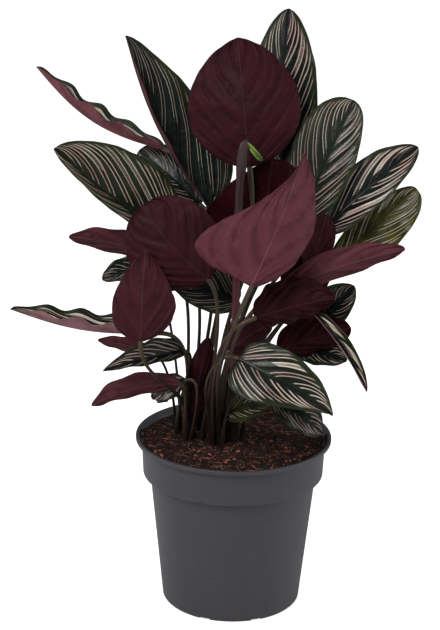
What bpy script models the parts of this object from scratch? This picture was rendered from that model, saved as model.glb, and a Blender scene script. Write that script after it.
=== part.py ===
"""Potted pinstripe calathea in a round plastic nursery pot.

The origin is the centre of the pot's base, +Z is up, and the object is looked at along +Y.
Every leaf is a blade on its own stalk, and each stalk rises from one crown in the potting mix.
The tables below are in millimetres and degrees, and the meshes are in metres.
"""
import math

import bmesh
import bpy
import numpy as np
from mathutils import Matrix, Vector

MM = 0.001
GAP = 0.3

# Pot, mm
POT_HEIGHT = 170.0
RIM_RADIUS = 95.0
LIP_HEIGHT = 4.0
LIP_OVERHANG = 5.8
LIP_EDGE = 2.6
FLARE_DROP = 3.6
EDGE_ROUND = 1.0
WALL = 1.9
BAND_HEIGHT = 38.0
BAND_TAPER = 1.7
STEP_INSET = 7.2
STEP_HEIGHT = 4.5
FOOT_RADIUS = 67.0
FOOT_EDGE = 2.6
FOOT_RING_WIDTH = 9.0
FLOOR_RAISE = 3.0
CENTRE_PAD_RADIUS = 28.0
PAD_SLOPE = 1.0
DRAIN_HOLES = 8
DRAIN_RADIUS = 4.0
DRAIN_CIRCLE = 43.0
DRAIN_HOLE_SIDES = 12
NOTCH_LENGTH = 16.0
NOTCH_WIDTH = 11.0
NOTCH_HEIGHT = 2.2
POT_SIDES = 40

# Potting mix, mm
SOIL_LEVEL = 162.0
SOIL_SIDES = 32
SOIL_RINGS = 7
SOIL_BUMP = 1.3
SOIL_EDGE_DIP = 1.5
SOIL_CORNER = 0.5
CROWN = (-22.0, 14.0)
CROWN_FLAT_RADIUS = 40.0
CROWN_BLEND = 15.0

# Leaves and stalks, mm
BLADE_THICKNESS = 1.0
BLADE_ROWS = 9
BLADE_COLUMNS = 5
YOUNG_COLUMNS = 3
STALK_RINGS = 9
STALK_SIDES = 6
STALK_RADIUS = 2.1
YOUNG_STALK_RADIUS = 1.6
STALK_FOOT_SWELL = 1.25
STALK_TOP_THIN = 0.80
STALK_JOIN_GAP = 0.6
NARROWEST_HALF_WIDTH = 0.7
WAVE_SHIFT = 1.1


def leaf(name, base, tip, faces, width, root, **shape):
    """Describe one leaf.

    base, tip   where the blade meets its stalk, and where it ends
    faces       azimuth and elevation that the blade's upper side looks towards
    width       half width on its left and on its right, seen from the upper side with the tip up
    root        where the stalk leaves the potting mix
    fold, curl  how far each half rises from flat at the midrib, and how much more by the margin
    bow, sway   how far the midrib arches to the upper side and to the right, in blade lengths
    outline     powers that place the widest point of each half, towards the base and the tip
    ripple      height of the waves along the margin, and waves is their number
    lean, reach how long the stalk stays upright, and how long it runs in line with the blade
    """
    entry = {"name": name, "base": base, "tip": tip, "faces": faces, "width": width, "root": root,
             "fold": (20, 20), "curl": (10, 10), "bow": 0.06, "sway": 0.0, "ripple": 1.5, "waves": 3,
             "outline": ((0.5, 0.62), (0.5, 0.62)), "lean": 0.45, "reach": 0.3,
             "stalk": STALK_RADIUS, "young": False}
    entry.update(shape)
    return entry


LEAVES = [
    leaf("top_centre", base=(10, -25, 447), tip=(-3, 16, 560), faces=(90, 5), width=(54, 54),
         root=(-19, 12), fold=(4, 4), curl=(18, 18), bow=-0.12, outline=((0.5, 0.6), (0.5, 0.6)),
         lean=0.62, reach=0.5, stalk=2.5),
    leaf("top_right", base=(44, 55, 412), tip=(45, 75, 575), faces=(-80, 20), width=(38, 36),
         root=(-17, 35), bow=0.05, sway=-0.04),
    leaf("upper_left", base=(-29, 32, 390), tip=(-109, 58, 550), faces=(-60, 15), width=(30, 52),
         root=(-34, 29), fold=(66, 25), curl=(10, -10), bow=-0.03, sway=-0.05,
         outline=((0.5, 0.65), (0.34, 0.72))),
    leaf("far_left_high", base=(-71, 60, 438), tip=(-196, 95, 509), faces=(90, 80), width=(19, 22),
         root=(-41, 36), fold=(38, 34), bow=-0.1, ripple=2.5, waves=4, lean=0.15, reach=0.35),
    leaf("left_broad", base=(-62, 14, 365), tip=(-173, -5, 456), faces=(-95, 40), width=(32, 48),
         root=(-44, 30), fold=(48, 15), curl=(10, -5), bow=0.02, sway=-0.03,
         outline=((0.5, 0.6), (0.4, 0.6)), lean=0.15, reach=0.31),
    leaf("left_back", base=(-36, 61, 384), tip=(-96, 88, 430), faces=(-80, 30), width=(28, 28),
         root=(-30, 38), fold=(15, 15), bow=0.05),
    leaf("left_arching", base=(-27, -33, 339), tip=(-90, -31, 410), faces=(100, 15), width=(46, 48),
         root=(-31, 4), fold=(0, 0), curl=(25, 20), bow=-0.16, outline=((0.4, 0.4), (0.4, 0.4)),
         lean=0.15, reach=0.23),
    leaf("left_inner", base=(2, 16, 300), tip=(-69, 14, 334), faces=(-80, 30), width=(26, 26),
         root=(-24, 22), fold=(15, 15), bow=0.05, lean=0.7, reach=0.08),
    leaf("left_hanging", base=(-89, -64, 287), tip=(-85, -53, 373), faces=(85, 5), width=(36, 29),
         root=(-41, 8), fold=(30, 5), bow=-0.08, outline=((0.42, 0.8), (0.42, 0.8)), lean=0.44,
         reach=0.34),
    leaf("left_narrow", base=(-69, 34, 338), tip=(-159, -4, 370), faces=(95, 15), width=(15, 15),
         root=(-47, 36), fold=(15, 15), bow=0.05, lean=0.44, reach=0.21),
    leaf("left_long", base=(-72, -22, 281), tip=(-212, -41, 309), faces=(90, 80), width=(16, 26),
         root=(-48, 11), fold=(38, 36), curl=(0, 0), bow=-0.06, ripple=3, waves=4, lean=0.39, reach=0.32),
    leaf("left_low", base=(-51, -4, 256), tip=(-124, -60, 256), faces=(-90, 40), width=(11, 17),
         root=(-56, 18), fold=(25, 25), bow=0.05, outline=((0.35, 0.8), (0.35, 0.8)), lean=0.5,
         reach=0.32),
    leaf("left_lowest", base=(-52, -15, 227), tip=(-135, -52, 218), faces=(85, 15), width=(15, 14),
         root=(-47, 0), fold=(15, 15), curl=(15, 15), bow=0.1, lean=0.33, reach=0.14),
    leaf("front_centre", base=(13, -95, 354), tip=(59, -39, 465), faces=(95, 15), width=(39, 64),
         root=(-14, -8), fold=(5, 5), curl=(20, 20), bow=-0.06, outline=((0.7, 0.75), (0.3, 2)),
         lean=0.34, reach=0.46),
    leaf("centre_back", base=(20, -9, 350), tip=(31, -19, 454), faces=(90, 0), width=(38, 58),
         root=(-13, 12), fold=(10, 10), bow=-0.05, outline=((0.5, 0.4), (0.35, 0.85)), lean=0.67,
         reach=0.5),
    leaf("right_tall", base=(59, 2, 386), tip=(108, 34, 497), faces=(-75, 25), width=(42, 27),
         root=(-10, 23), curl=(0, 0), bow=0.05, sway=-0.02, outline=((0.6, 0.5), (0.4, 0.5)), ripple=3,
         waves=2, lean=0.64, reach=0.08),
    leaf("right_outer", base=(78, 7, 374), tip=(170, 41, 451), faces=(-90, 40), width=(26, 24),
         root=(-6, 16), curl=(0, 0), lean=0.48, reach=0.42),
    leaf("right_lime", base=(97, 22, 338), tip=(169, 24, 415), faces=(-80, 35), width=(20, 29),
         root=(3, 13), fold=(20, 18), curl=(5, 5), bow=0.08, outline=((0.38, 0.5), (0.5, 0.45)),
         ripple=2.2, lean=0.46, reach=0.21),
    leaf("right_long", base=(45, -41, 335), tip=(157, -27, 371), faces=(95, 15), width=(20, 18),
         root=(-10, -3), bow=0.04, lean=0.18, reach=0.4),
    leaf("right_shaded", base=(17, -62, 312), tip=(92, -49, 329), faces=(90, 10), width=(24, 28),
         root=(-16, -1), bow=0.04, ripple=3, waves=4, lean=0.29, reach=0.34),
    leaf("right_small", base=(73, 12, 278), tip=(113, 12, 320), faces=(-90, 30), width=(21, 21),
         root=(2, 21), bow=0.04),
    leaf("right_dark", base=(41, -4, 258), tip=(109, -17, 288), faces=(95, 10), width=(26, 24),
         root=(-3, 10), bow=0.04, ripple=3, lean=0.7, reach=0.11),
    leaf("front_right", base=(2, -78, 278), tip=(91, -95, 229), faces=(-85, 30), width=(29, 32),
         root=(-20, -8), fold=(16, 16), curl=(-15, -15), bow=0.1, outline=((0.4, 0.75), (0.32, 1.25)),
         lean=0.27, reach=0.26),
    leaf("rolled_shoot", base=(7, -47, 477), tip=(21, -34, 457), faces=(-90, 10), width=(4.5, 4.5),
         root=(0, 1), fold=(50, 50), curl=(20, 20), bow=0.1, ripple=0, lean=0.37, reach=0.06, young=True,
         stalk=4.6),
    leaf("left_small", base=(-83, 19, 334), tip=(-128, 4, 325), faces=(-90, 45), width=(14, 14),
         root=(-52, 26), bow=0.08, lean=0.32, reach=0.1, young=True, stalk=YOUNG_STALK_RADIUS),
    leaf("left_slim", base=(-80, 11, 250), tip=(-133, 19, 258), faces=(90, 5), width=(8, 9),
         root=(-57, 29), fold=(15, 15), bow=0.05, lean=0.36, reach=0.19, young=True,
         stalk=YOUNG_STALK_RADIUS),
    leaf("left_ragged", base=(-47, -5, 227), tip=(-80, 25, 197), faces=(-90, 30), width=(12, 14),
         root=(-42, 2), fold=(10, 10), bow=0.05, ripple=2.5, lean=0.15, reach=0.5, young=True,
         stalk=YOUNG_STALK_RADIUS),
    leaf("inner_upright", base=(-43, 15, 168), tip=(-26, -13, 274), faces=(90, 0), width=(14, 14),
         root=(-37, 18), bow=0.02, young=True, stalk=YOUNG_STALK_RADIUS),
    leaf("right_drooping", base=(71, -30, 309), tip=(124, -60, 240), faces=(-60, 30), width=(11, 11),
         root=(10, -5), fold=(45, 45), curl=(20, 20), bow=0.08, ripple=0.5, lean=0.51, reach=0.5,
         young=True, stalk=YOUNG_STALK_RADIUS),
    leaf("rim_right", base=(35, -46, 226), tip=(84, -54, 194), faces=(-90, 45), width=(18, 18),
         root=(-11, -14), fold=(10, 10), bow=0.1, lean=0.63, reach=0.42, young=True,
         stalk=YOUNG_STALK_RADIUS),
    leaf("crown_front", base=(-6, -8, 196), tip=(37, -42, 221), faces=(-90, 40), width=(17, 17),
         root=(-25, 1), fold=(10, 10), bow=0.05, lean=0.7, reach=0.5, young=True,
         stalk=YOUNG_STALK_RADIUS),
    leaf("centre_small", base=(-7, -29, 266), tip=(34, -21, 294), faces=(95, 10), width=(18, 18),
         root=(-22, -3), fold=(10, 10), bow=0.05, lean=0.38, reach=0.43, young=True,
         stalk=YOUNG_STALK_RADIUS),
    leaf("right_inner", base=(71, -4, 341), tip=(83, -10, 398), faces=(90, 0), width=(16, 16),
         root=(-4, 26), fold=(10, 10), bow=0.05, young=True, stalk=YOUNG_STALK_RADIUS),
    leaf("right_core", base=(57, 6, 305), tip=(80, 10, 366), faces=(90, 0), width=(25, 25), root=(-9, 29),
         fold=(10, 10), bow=0.05, lean=0.68, reach=0.08, young=True, stalk=YOUNG_STALK_RADIUS),
    leaf("right_low", base=(61, 29, 250), tip=(107, -8, 251), faces=(-90, 40), width=(17, 16),
         root=(7, 5), fold=(10, 10), bow=0.05, lean=0.41, reach=0.19, young=True,
         stalk=YOUNG_STALK_RADIUS),
]


def unit(vectors):
    """Scale one vector, or each row of an array of vectors, to length one."""
    vectors = np.asarray(vectors, dtype=float)
    return vectors / np.linalg.norm(vectors, axis=-1, keepdims=True)


def direction(azimuth, elevation):
    """Return the unit vector that looks towards an azimuth and an elevation, in degrees."""
    turn, lift = math.radians(azimuth), math.radians(elevation)
    return np.array([math.cos(turn) * math.cos(lift), math.sin(turn) * math.cos(lift), math.sin(lift)])


def midrib_points(plan, t):
    """Return the midrib's points at fractions t of the blade, with its upper and right directions."""
    base, tip = np.array(plan["base"], float), np.array(plan["tip"], float)
    chord = tip - base
    length = np.linalg.norm(chord)
    along = chord / length
    face = direction(*plan["faces"])
    upper = unit(face - along * (face @ along))
    right = np.cross(along, upper)
    arch = np.sin(np.pi * t)[:, None] * length
    return base + t[:, None] * chord + arch * (plan["bow"] * upper + plan["sway"] * right), upper


def midrib_frames(plan, t):
    """Return the midrib's points, forward directions, upper directions and right directions."""
    step = 1e-3
    points, upper = midrib_points(plan, t)
    behind, _ = midrib_points(plan, np.clip(t - step, 0, 1))
    ahead, _ = midrib_points(plan, np.clip(t + step, 0, 1))
    forward = unit(ahead - behind)
    up = unit(upper - forward * (forward @ upper)[:, None])
    return points, forward, up, np.cross(forward, up)


def half_width(plan, t, half):
    """Return the blade's half width at fractions t, on its left (0) or right (1)."""
    base_power, tip_power = plan["outline"][half]
    widest = base_power / (base_power + tip_power)
    peak = widest ** base_power * (1 - widest) ** tip_power
    outline = t ** base_power * (1 - t) ** tip_power / peak
    return np.maximum(plan["width"][half] * outline, NARROWEST_HALF_WIDTH)


def blade_surface(plan, rows, columns):
    """Return the blade's middle surface as a grid of points, base to tip and left to right."""
    t = np.linspace(0, 1, rows)
    points, _, up, right = midrib_frames(plan, t)
    grid = np.zeros((rows, columns, 3))
    for column, s in enumerate(np.linspace(-1, 1, columns)):
        half = 0 if s < 0 else 1
        out = abs(s)
        width = half_width(plan, t, half)
        fold = math.radians(plan["fold"][half])
        curl = math.radians(plan["curl"][half]) or 1e-4
        across = (math.sin(fold + curl * out) - math.sin(fold)) / curl
        rise = (math.cos(fold) - math.cos(fold + curl * out)) / curl
        wave = np.sin(2 * np.pi * plan["waves"] * t + WAVE_SHIFT * half)
        wave = wave * np.sqrt(np.sin(np.pi * t).clip(0)) * plan["ripple"] * out * out
        grid[:, column] = points + right * (math.copysign(1, s) * width * across)[:, None]
        grid[:, column] += up * (width * rise + wave)[:, None]
    return grid


def blade_rings(plan, rows, columns):
    """Return closed cross-sections of the blade: its upper side left to right, then back below."""
    grid = blade_surface(plan, rows, columns)
    normal = unit(np.cross(np.gradient(grid, axis=1), np.gradient(grid, axis=0)))
    upper = grid + normal * BLADE_THICKNESS / 2
    lower = grid - normal * BLADE_THICKNESS / 2
    return [np.concatenate([upper[row], lower[row][::-1]]) for row in range(rows)]


def stalk_curve(plan, t, join_gap):
    """Return points and forward directions along the stalk, from the potting mix to the blade."""
    _, forward, _, right = midrib_frames(plan, np.array([0.0, 0.5]))
    end = np.array(plan["base"], float) - forward[0] * join_gap
    root = np.array([plan["root"][0], plan["root"][1], SOIL_LEVEL + GAP])
    span = np.linalg.norm(end - root)
    upright = root + np.array([0, 0, plan["lean"] * span])
    inline = end - forward[0] * plan["reach"] * span
    t = t[:, None]
    points = (1 - t) ** 3 * root + 3 * (1 - t) ** 2 * t * upright
    points = points + 3 * (1 - t) * t ** 2 * inline + t ** 3 * end
    heading = (1 - t) ** 2 * (upright - root) + 2 * (1 - t) * t * (inline - upright)
    heading = heading + t ** 2 * (end - inline)
    return points, unit(heading), right[0]


def stalk_rings(plan, join_gap):
    """Return closed round cross-sections of the stalk, turned to line up with the blade's own."""
    t = np.linspace(0, 1, STALK_RINGS)
    points, forward, right = stalk_curve(plan, t, join_gap)
    angles = np.pi - 2 * np.pi * (np.arange(STALK_SIDES) + 0.5) / STALK_SIDES
    rings = []
    for index in reversed(range(STALK_RINGS)):
        right = unit(right - forward[index] * (right @ forward[index]))
        up = np.cross(right, forward[index])
        radius = plan["stalk"] * (STALK_FOOT_SWELL + (STALK_TOP_THIN - STALK_FOOT_SWELL) * t[index])
        circle = np.cos(angles)[:, None] * right + np.sin(angles)[:, None] * up
        rings.insert(0, points[index] + radius * circle)
    return rings


def loft(rings):
    """Join closed cross-sections of equal size into one closed skin, with a cap at each end."""
    size = len(rings[0])
    faces = []
    for index in range(len(rings) - 1):
        start = index * size
        for side in range(size):
            ahead = (side + 1) % size
            faces.append((start + side, start + ahead, start + size + ahead, start + size + side))
    last = (len(rings) - 1) * size
    for side in range(size // 2 - 1):
        quad = (side, side + 1, size - 2 - side, size - 1 - side)
        faces.append(tuple(last + corner for corner in quad))
        faces.append(tuple(reversed(quad)))
    return np.concatenate(rings), faces


def lathe(profile, sides):
    """Turn a profile of (radius, height) points, which starts and ends on the axis, into a skin."""
    points = [(0.0, 0.0, profile[0][1])]
    for radius, height in profile[1:-1]:
        for side in range(sides):
            angle = 2 * math.pi * side / sides
            points.append((radius * math.cos(angle), radius * math.sin(angle), height))
    points.append((0.0, 0.0, profile[-1][1]))
    faces = []
    for side in range(sides):
        ahead = (side + 1) % sides
        faces.append((0, 1 + ahead, 1 + side))
        for ring in range(len(profile) - 3):
            start = 1 + ring * sides
            faces.append((start + side, start + ahead, start + sides + ahead, start + sides + side))
        top = len(points) - 1
        faces.append((top, top - sides + side, top - sides + ahead))
    return np.array(points), faces


def make_material(name, colour, roughness):
    """Return a Principled material with one colour and roughness, and no metal."""
    material = bpy.data.materials.new(name)
    material.use_nodes = True
    shader = material.node_tree.nodes["Principled BSDF"]
    shader.inputs["Base Color"].default_value = (*colour, 1.0)
    shader.inputs["Roughness"].default_value = roughness
    shader.inputs["Metallic"].default_value = 0.0
    material.diffuse_color = (*colour, 1.0)
    return material


def make_object(name, points, faces, material, parent, sharp_angle=40.0):
    """Make a smooth-shaded object from points in mm, with its origin at the first point."""
    anchor = np.array(points[0], float)
    mesh = bpy.data.meshes.new(name)
    mesh.from_pydata([tuple(point) for point in (np.asarray(points) - anchor) * MM], [], faces)
    mesh.shade_smooth()
    mesh.set_sharp_from_angle(angle=math.radians(sharp_angle))
    mesh.materials.append(material)
    item = bpy.data.objects.new(name, mesh)
    item.location = Vector(anchor * MM)
    item.parent = parent
    bpy.context.collection.objects.link(item)
    return item


def pot_profile():
    """Return the pot wall's outline: the underside, up the outside, and down the inside."""
    band_bottom = POT_HEIGHT - BAND_HEIGHT
    band_top_radius = RIM_RADIUS - LIP_OVERHANG
    band_bottom_radius = band_top_radius - BAND_TAPER
    body_top_radius = band_bottom_radius - STEP_INSET
    body_top = band_bottom - STEP_HEIGHT
    ring_inside = FOOT_RADIUS - FOOT_RING_WIDTH
    lip_bottom = POT_HEIGHT - LIP_HEIGHT
    floor_top = FLOOR_RAISE + WALL
    half_edge = EDGE_ROUND / 2
    outside = [(0, 0), (CENTRE_PAD_RADIUS - PAD_SLOPE, 0), (CENTRE_PAD_RADIUS + PAD_SLOPE, FLOOR_RAISE),
               (ring_inside - PAD_SLOPE, FLOOR_RAISE), (ring_inside + PAD_SLOPE, 0),
               (FOOT_RADIUS - FOOT_EDGE, 0), (FOOT_RADIUS - FOOT_EDGE / 3, FOOT_EDGE / 3),
               (FOOT_RADIUS, FOOT_EDGE), (body_top_radius, body_top),
               (band_bottom_radius - half_edge, band_bottom - half_edge),
               (band_bottom_radius, band_bottom + half_edge), (band_top_radius, lip_bottom),
               (RIM_RADIUS - EDGE_ROUND, lip_bottom), (RIM_RADIUS, lip_bottom + EDGE_ROUND),
               (RIM_RADIUS, POT_HEIGHT - EDGE_ROUND), (RIM_RADIUS - EDGE_ROUND, POT_HEIGHT)]
    inside = [(RIM_RADIUS - LIP_EDGE, POT_HEIGHT),
              (RIM_RADIUS - LIP_EDGE - half_edge, POT_HEIGHT - half_edge),
              (band_top_radius - WALL, POT_HEIGHT - FLARE_DROP),
              (band_bottom_radius - WALL, band_bottom + WALL), (body_top_radius - WALL, body_top + WALL),
              (FOOT_RADIUS - WALL - EDGE_ROUND, floor_top + EDGE_ROUND),
              (FOOT_RADIUS - WALL - 2 * EDGE_ROUND, floor_top), (CENTRE_PAD_RADIUS, floor_top),
              (CENTRE_PAD_RADIUS - 2 * PAD_SLOPE, WALL), (0, WALL)]
    return outside + inside


def add_drain_cutters(material):
    """Make the guide object that cuts the drain holes and the notches in the foot ring."""
    cutter = bmesh.new()
    for hole in range(DRAIN_HOLES):
        turn = Matrix.Rotation(2 * math.pi * (hole + 0.5) / DRAIN_HOLES, 4, "Z")
        at_hole = turn @ Matrix.Translation((DRAIN_CIRCLE * MM, 0, FLOOR_RAISE * MM))
        bmesh.ops.create_cone(cutter, cap_ends=True, segments=DRAIN_HOLE_SIDES, radius1=DRAIN_RADIUS * MM,
                              radius2=DRAIN_RADIUS * MM, depth=4 * WALL * MM, matrix=at_hole)
        at_notch = turn @ Matrix.Translation(((FOOT_RADIUS - FOOT_RING_WIDTH / 2) * MM, 0, 0))
        size = Matrix.Diagonal((NOTCH_LENGTH * MM, NOTCH_WIDTH * MM, 2 * NOTCH_HEIGHT * MM, 1))
        bmesh.ops.create_cube(cutter, size=1.0, matrix=at_notch @ size)
    mesh = bpy.data.meshes.new("drain_cutters")
    cutter.to_mesh(mesh)
    cutter.free()
    mesh.materials.append(material)
    item = bpy.data.objects.new("drain_cutters", mesh)
    item.hide_render = True
    item.display_type = "WIRE"
    bpy.context.collection.objects.link(item)
    return item


def add_pot(parent):
    """Add the pot: a tapered body, a wider band, a rolled lip, and a floor that drains."""
    material = make_material("pot_plastic", (0.066, 0.064, 0.073), 0.42)
    points, faces = lathe(pot_profile(), POT_SIDES)
    pot = make_object("nursery_pot", points, faces, material, parent, sharp_angle=30.0)
    cut = pot.modifiers.new("drainage", "BOOLEAN")
    cut.operation = "DIFFERENCE"
    cut.solver = "EXACT"
    cut.object = add_drain_cutters(material)


def soil_height(x, y, edge):
    """Return the height of the mix's top at a point: flat round the crown, and rough elsewhere."""
    from_crown = math.hypot(x - CROWN[0], y - CROWN[1])
    rough = min(max((from_crown - CROWN_FLAT_RADIUS) / CROWN_BLEND, 0.0), 1.0)
    waves = math.sin(x / 7.1 + 0.6) * math.cos(y / 6.3) + 0.5 * math.sin((x + 2 * y) / 9.7)
    return SOIL_LEVEL + SOIL_BUMP * rough * waves - SOIL_EDGE_DIP * edge


def add_soil(parent):
    """Add the potting mix, which fills the pot to just under its rim."""
    material = make_material("potting_mix", (0.045, 0.022, 0.014), 0.95)
    band_bottom = POT_HEIGHT - BAND_HEIGHT
    clear = WALL + GAP
    band_radius = RIM_RADIUS - LIP_OVERHANG - BAND_TAPER - clear
    body_radius = band_radius - STEP_INSET
    foot_radius = FOOT_RADIUS - 2 * EDGE_ROUND - clear
    floor = FLOOR_RAISE + clear
    slope = BAND_TAPER / (BAND_HEIGHT - LIP_HEIGHT)
    top_radius = band_radius - SOIL_CORNER + slope * (SOIL_LEVEL - band_bottom)
    profile = [(0, clear), (CENTRE_PAD_RADIUS - 2 * PAD_SLOPE - 1.2, clear),
               (CENTRE_PAD_RADIUS - SOIL_CORNER, floor),
               (foot_radius - SOIL_CORNER, floor), (foot_radius + SOIL_CORNER, floor + 3 * SOIL_CORNER),
               (body_radius - SOIL_CORNER, band_bottom - STEP_HEIGHT + WALL),
               (band_radius - SOIL_CORNER, band_bottom + clear)]
    below = len(profile)
    profile += [(top_radius * (SOIL_RINGS - ring) / SOIL_RINGS, 0) for ring in range(SOIL_RINGS)]
    profile.append((0, 0))
    points, faces = lathe(profile, SOIL_SIDES)
    top_start = 1 + (below - 1) * SOIL_SIDES
    for index in range(top_start, len(points)):
        x, y, _ = points[index]
        points[index][2] = soil_height(x, y, math.hypot(x, y) / top_radius > 0.99)
    make_object("potting_mix", points, faces, material, parent)


def add_leaf(plan, blade_material, stalk_material, young_material, parent):
    """Add a leaf: a blade and its stalk as two objects, or a young leaf as one."""
    if plan["young"]:
        rings = stalk_rings(plan, STALK_JOIN_GAP) + blade_rings(plan, BLADE_ROWS, YOUNG_COLUMNS)
        make_object("young_leaf_" + plan["name"], *loft(rings), young_material, parent)
        return
    blade = loft(blade_rings(plan, BLADE_ROWS, BLADE_COLUMNS))
    make_object("blade_" + plan["name"], *blade, blade_material, parent)
    stalk = loft(stalk_rings(plan, STALK_JOIN_GAP))
    make_object("stalk_" + plan["name"], *stalk, stalk_material, parent)


def clear_scene():
    """Remove every object that the new file starts with."""
    for item in list(bpy.data.objects):
        bpy.data.objects.remove(item, do_unlink=True)


def build():
    """Build the whole potted plant."""
    clear_scene()
    holder = bpy.data.objects.new("potted_calathea", None)
    bpy.context.collection.objects.link(holder)
    add_pot(holder)
    add_soil(holder)
    underside = make_material("leaf_underside", (0.105, 0.034, 0.046), 0.45)
    striped = make_material("leaf_striped", (0.060, 0.105, 0.070), 0.38)
    stalk = make_material("leaf_stalk", (0.150, 0.090, 0.060), 0.45)
    young = make_material("young_leaf", (0.090, 0.120, 0.080), 0.42)
    for plan in LEAVES:
        blade = striped if plan["faces"][0] < 0 else underside
        add_leaf(plan, blade, stalk, young, holder)


build()
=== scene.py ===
"""Looks of the potted pinstripe calathea: leaves, stalks, potting mix and nursery pot."""
import math

import bmesh
import bpy
from mathutils import Matrix, Vector


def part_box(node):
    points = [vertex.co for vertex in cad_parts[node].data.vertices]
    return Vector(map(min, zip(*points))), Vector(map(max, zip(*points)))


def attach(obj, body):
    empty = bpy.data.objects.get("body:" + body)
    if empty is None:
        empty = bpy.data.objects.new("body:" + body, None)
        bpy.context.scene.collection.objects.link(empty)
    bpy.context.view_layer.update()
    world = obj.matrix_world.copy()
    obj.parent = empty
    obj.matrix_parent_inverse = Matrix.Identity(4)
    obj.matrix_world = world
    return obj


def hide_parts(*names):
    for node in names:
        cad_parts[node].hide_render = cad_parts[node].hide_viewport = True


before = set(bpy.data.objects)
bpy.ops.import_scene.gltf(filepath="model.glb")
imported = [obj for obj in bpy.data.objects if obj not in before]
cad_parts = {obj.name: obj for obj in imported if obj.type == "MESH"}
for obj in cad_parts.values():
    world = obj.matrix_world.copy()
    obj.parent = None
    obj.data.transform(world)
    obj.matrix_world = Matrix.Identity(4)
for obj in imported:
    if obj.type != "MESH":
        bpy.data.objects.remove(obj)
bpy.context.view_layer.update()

MM = 0.001

# Pot, from the frame, in metres
POT_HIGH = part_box("nursery_pot")[1]
RIM_RADIUS = POT_HIGH[0]
POT_HEIGHT = POT_HIGH[2]
LIP_HEIGHT = 4.0 * MM
LIP_OVERHANG = 5.8 * MM
LIP_EDGE = 2.6 * MM
FLARE_DROP = 3.6 * MM
WALL = 1.9 * MM
BAND_HEIGHT = 38.0 * MM
BAND_TAPER = 1.7 * MM
STEP_INSET = 7.2 * MM
STEP_HEIGHT = 4.5 * MM
FOOT_RADIUS = 67.0 * MM
FOOT_EDGE = 2.6 * MM
FOOT_RING_WIDTH = 9.0 * MM
FLOOR_RAISE = 3.0 * MM
CENTRE_PAD_RADIUS = 28.0 * MM
DRAIN_HOLES = 8
DRAIN_RADIUS = 4.0 * MM
DRAIN_CIRCLE = 43.0 * MM
NOTCH_SIZE = (16.0 * MM, 11.0 * MM, 4.4 * MM)
PAD_SLOPE = 1.0 * MM
EDGE_ROUND = 0.9 * MM
POT_SIDES = 160
DRAIN_SIDES = 32
SHARP_ANGLE = math.radians(32)

# Leaves and stalks, in millimetres unless a name says otherwise
SOIL_LEVEL_MM = 162.0
BLADE_ROWS = 84
BLADE_COLUMNS = 41
BLADE_THICKNESS = 0.45 * MM
UNEVENNESS = 5.0 * MM
RAGGEDNESS = 0.07
VEIN_RISE_LEAST = 0.2
VEIN_RISE_PER_SLENDERNESS = 0.36
VEIN_CURVE_SHARE = 0.35
STALK_RADIUS = 2.1
YOUNG_STALK_RADIUS = 1.6
STALK_OVERLAP = 1.5 * MM
ROOT_DEPTH = 6.0 * MM
VEIN_GAP = 6.6 * MM
VEIN_GAP_SHARE = 0.034
BAR_OFFSET_MM = 1.35
BAR_HALF_MM = 0.38
NARROWEST_HALF_WIDTH = 0.7
WAVE_SHIFT = 1.1
PLEAT_FULLNESS = 2.6
PLEAT_FADE = 0.75
STEEPEST_STRETCH = 4.5
PATCH_SCALE = 26.0
SEED_STEP_BLADE = 7.3
SEED_STEP_STALK = 3.7
STALK_RINGS = 72
STALK_SIDES = 14
FOOT_SWELL = 0.45
JOINT_SWELL = 0.28
FLATTEST_CURL = 1e-4

# What is strewn on the potting mix: name, size and spacing in mm, density per square metre,
# stretch of a chip, its smoothness, and seed
SOIL_RINGS = 56
SOIL_SIDES = 144
STREWN = (("bark_chips", 12.5, 7.0, 9000.0, (1.0, 0.55, 0.30), 2, 3),
          ("bark_crumbs", 6.6, 3.0, 65000.0, (1.0, 0.62, 0.42), 2, 8),
          ("mix_grains", 3.0, 1.75, 150000.0, (1.0, 0.75, 0.6), 1, 15))
BANK_START = 80.0 * MM
BANK_EDGE = 91.2 * MM
BANK_SINK = 3.4 * MM
CHIP_REACH = 0.66
CHIP_ROUGHNESS = 0.5
CHIP_TILT = 0.45
CHIP_SINK = 0.12
BANK_STEEPNESS = 1.5
MIX_CLEARANCE = 0.3 * MM
MIX_UNDER_RIM = 0.6 * MM
BED_COARSE = 6.0 * MM
BED_FINE = 1.8 * MM
TOP_SLOPE_LEAST = 0.2
TOP_DEPTH = 5 * MM
FIBRE_DENSITY = 5000.0
FIBRE_LENGTH = 11.0 * MM
FIBRE_RADIUS = 0.22 * MM
FIBRE_BEND = 3.0 * MM
FIBRE_SEED = 4
FIBRE_CLEARANCE = 6.0 * MM

# Studio, in metres, degrees and watts; a light is its name, place, size and power
MIDDLE = (0, 0, 0.32)
ROOM_GLOW = 0.12
FLOOR_REACH = 14.0
LIGHTS = (("key", (-0.9, -1.7, 2.1), 1.1, 46.0),
          ("fill", (1.5, -1.5, 0.9), 1.2, 4.0),
          ("top", (0.1, 0.4, 2.3), 1.3, 8.0),
          ("left_wall", (-1.9, 0.5, 0.7), 1.6, 10.0),
          ("right_wall", (1.9, 0.1, 0.45), 1.6, 18.0))
CAMERA_LENS = 149.8
CAMERA_ELEVATION = 22.0
CAMERA_PITCH = -19.4
CAMERA_ROLL = 1.0
CAMERA_DISTANCE = 2.55
CAMERA_AIM_HEIGHT = 0.170
CAMERA_SIDEWAYS = -0.0152


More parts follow.
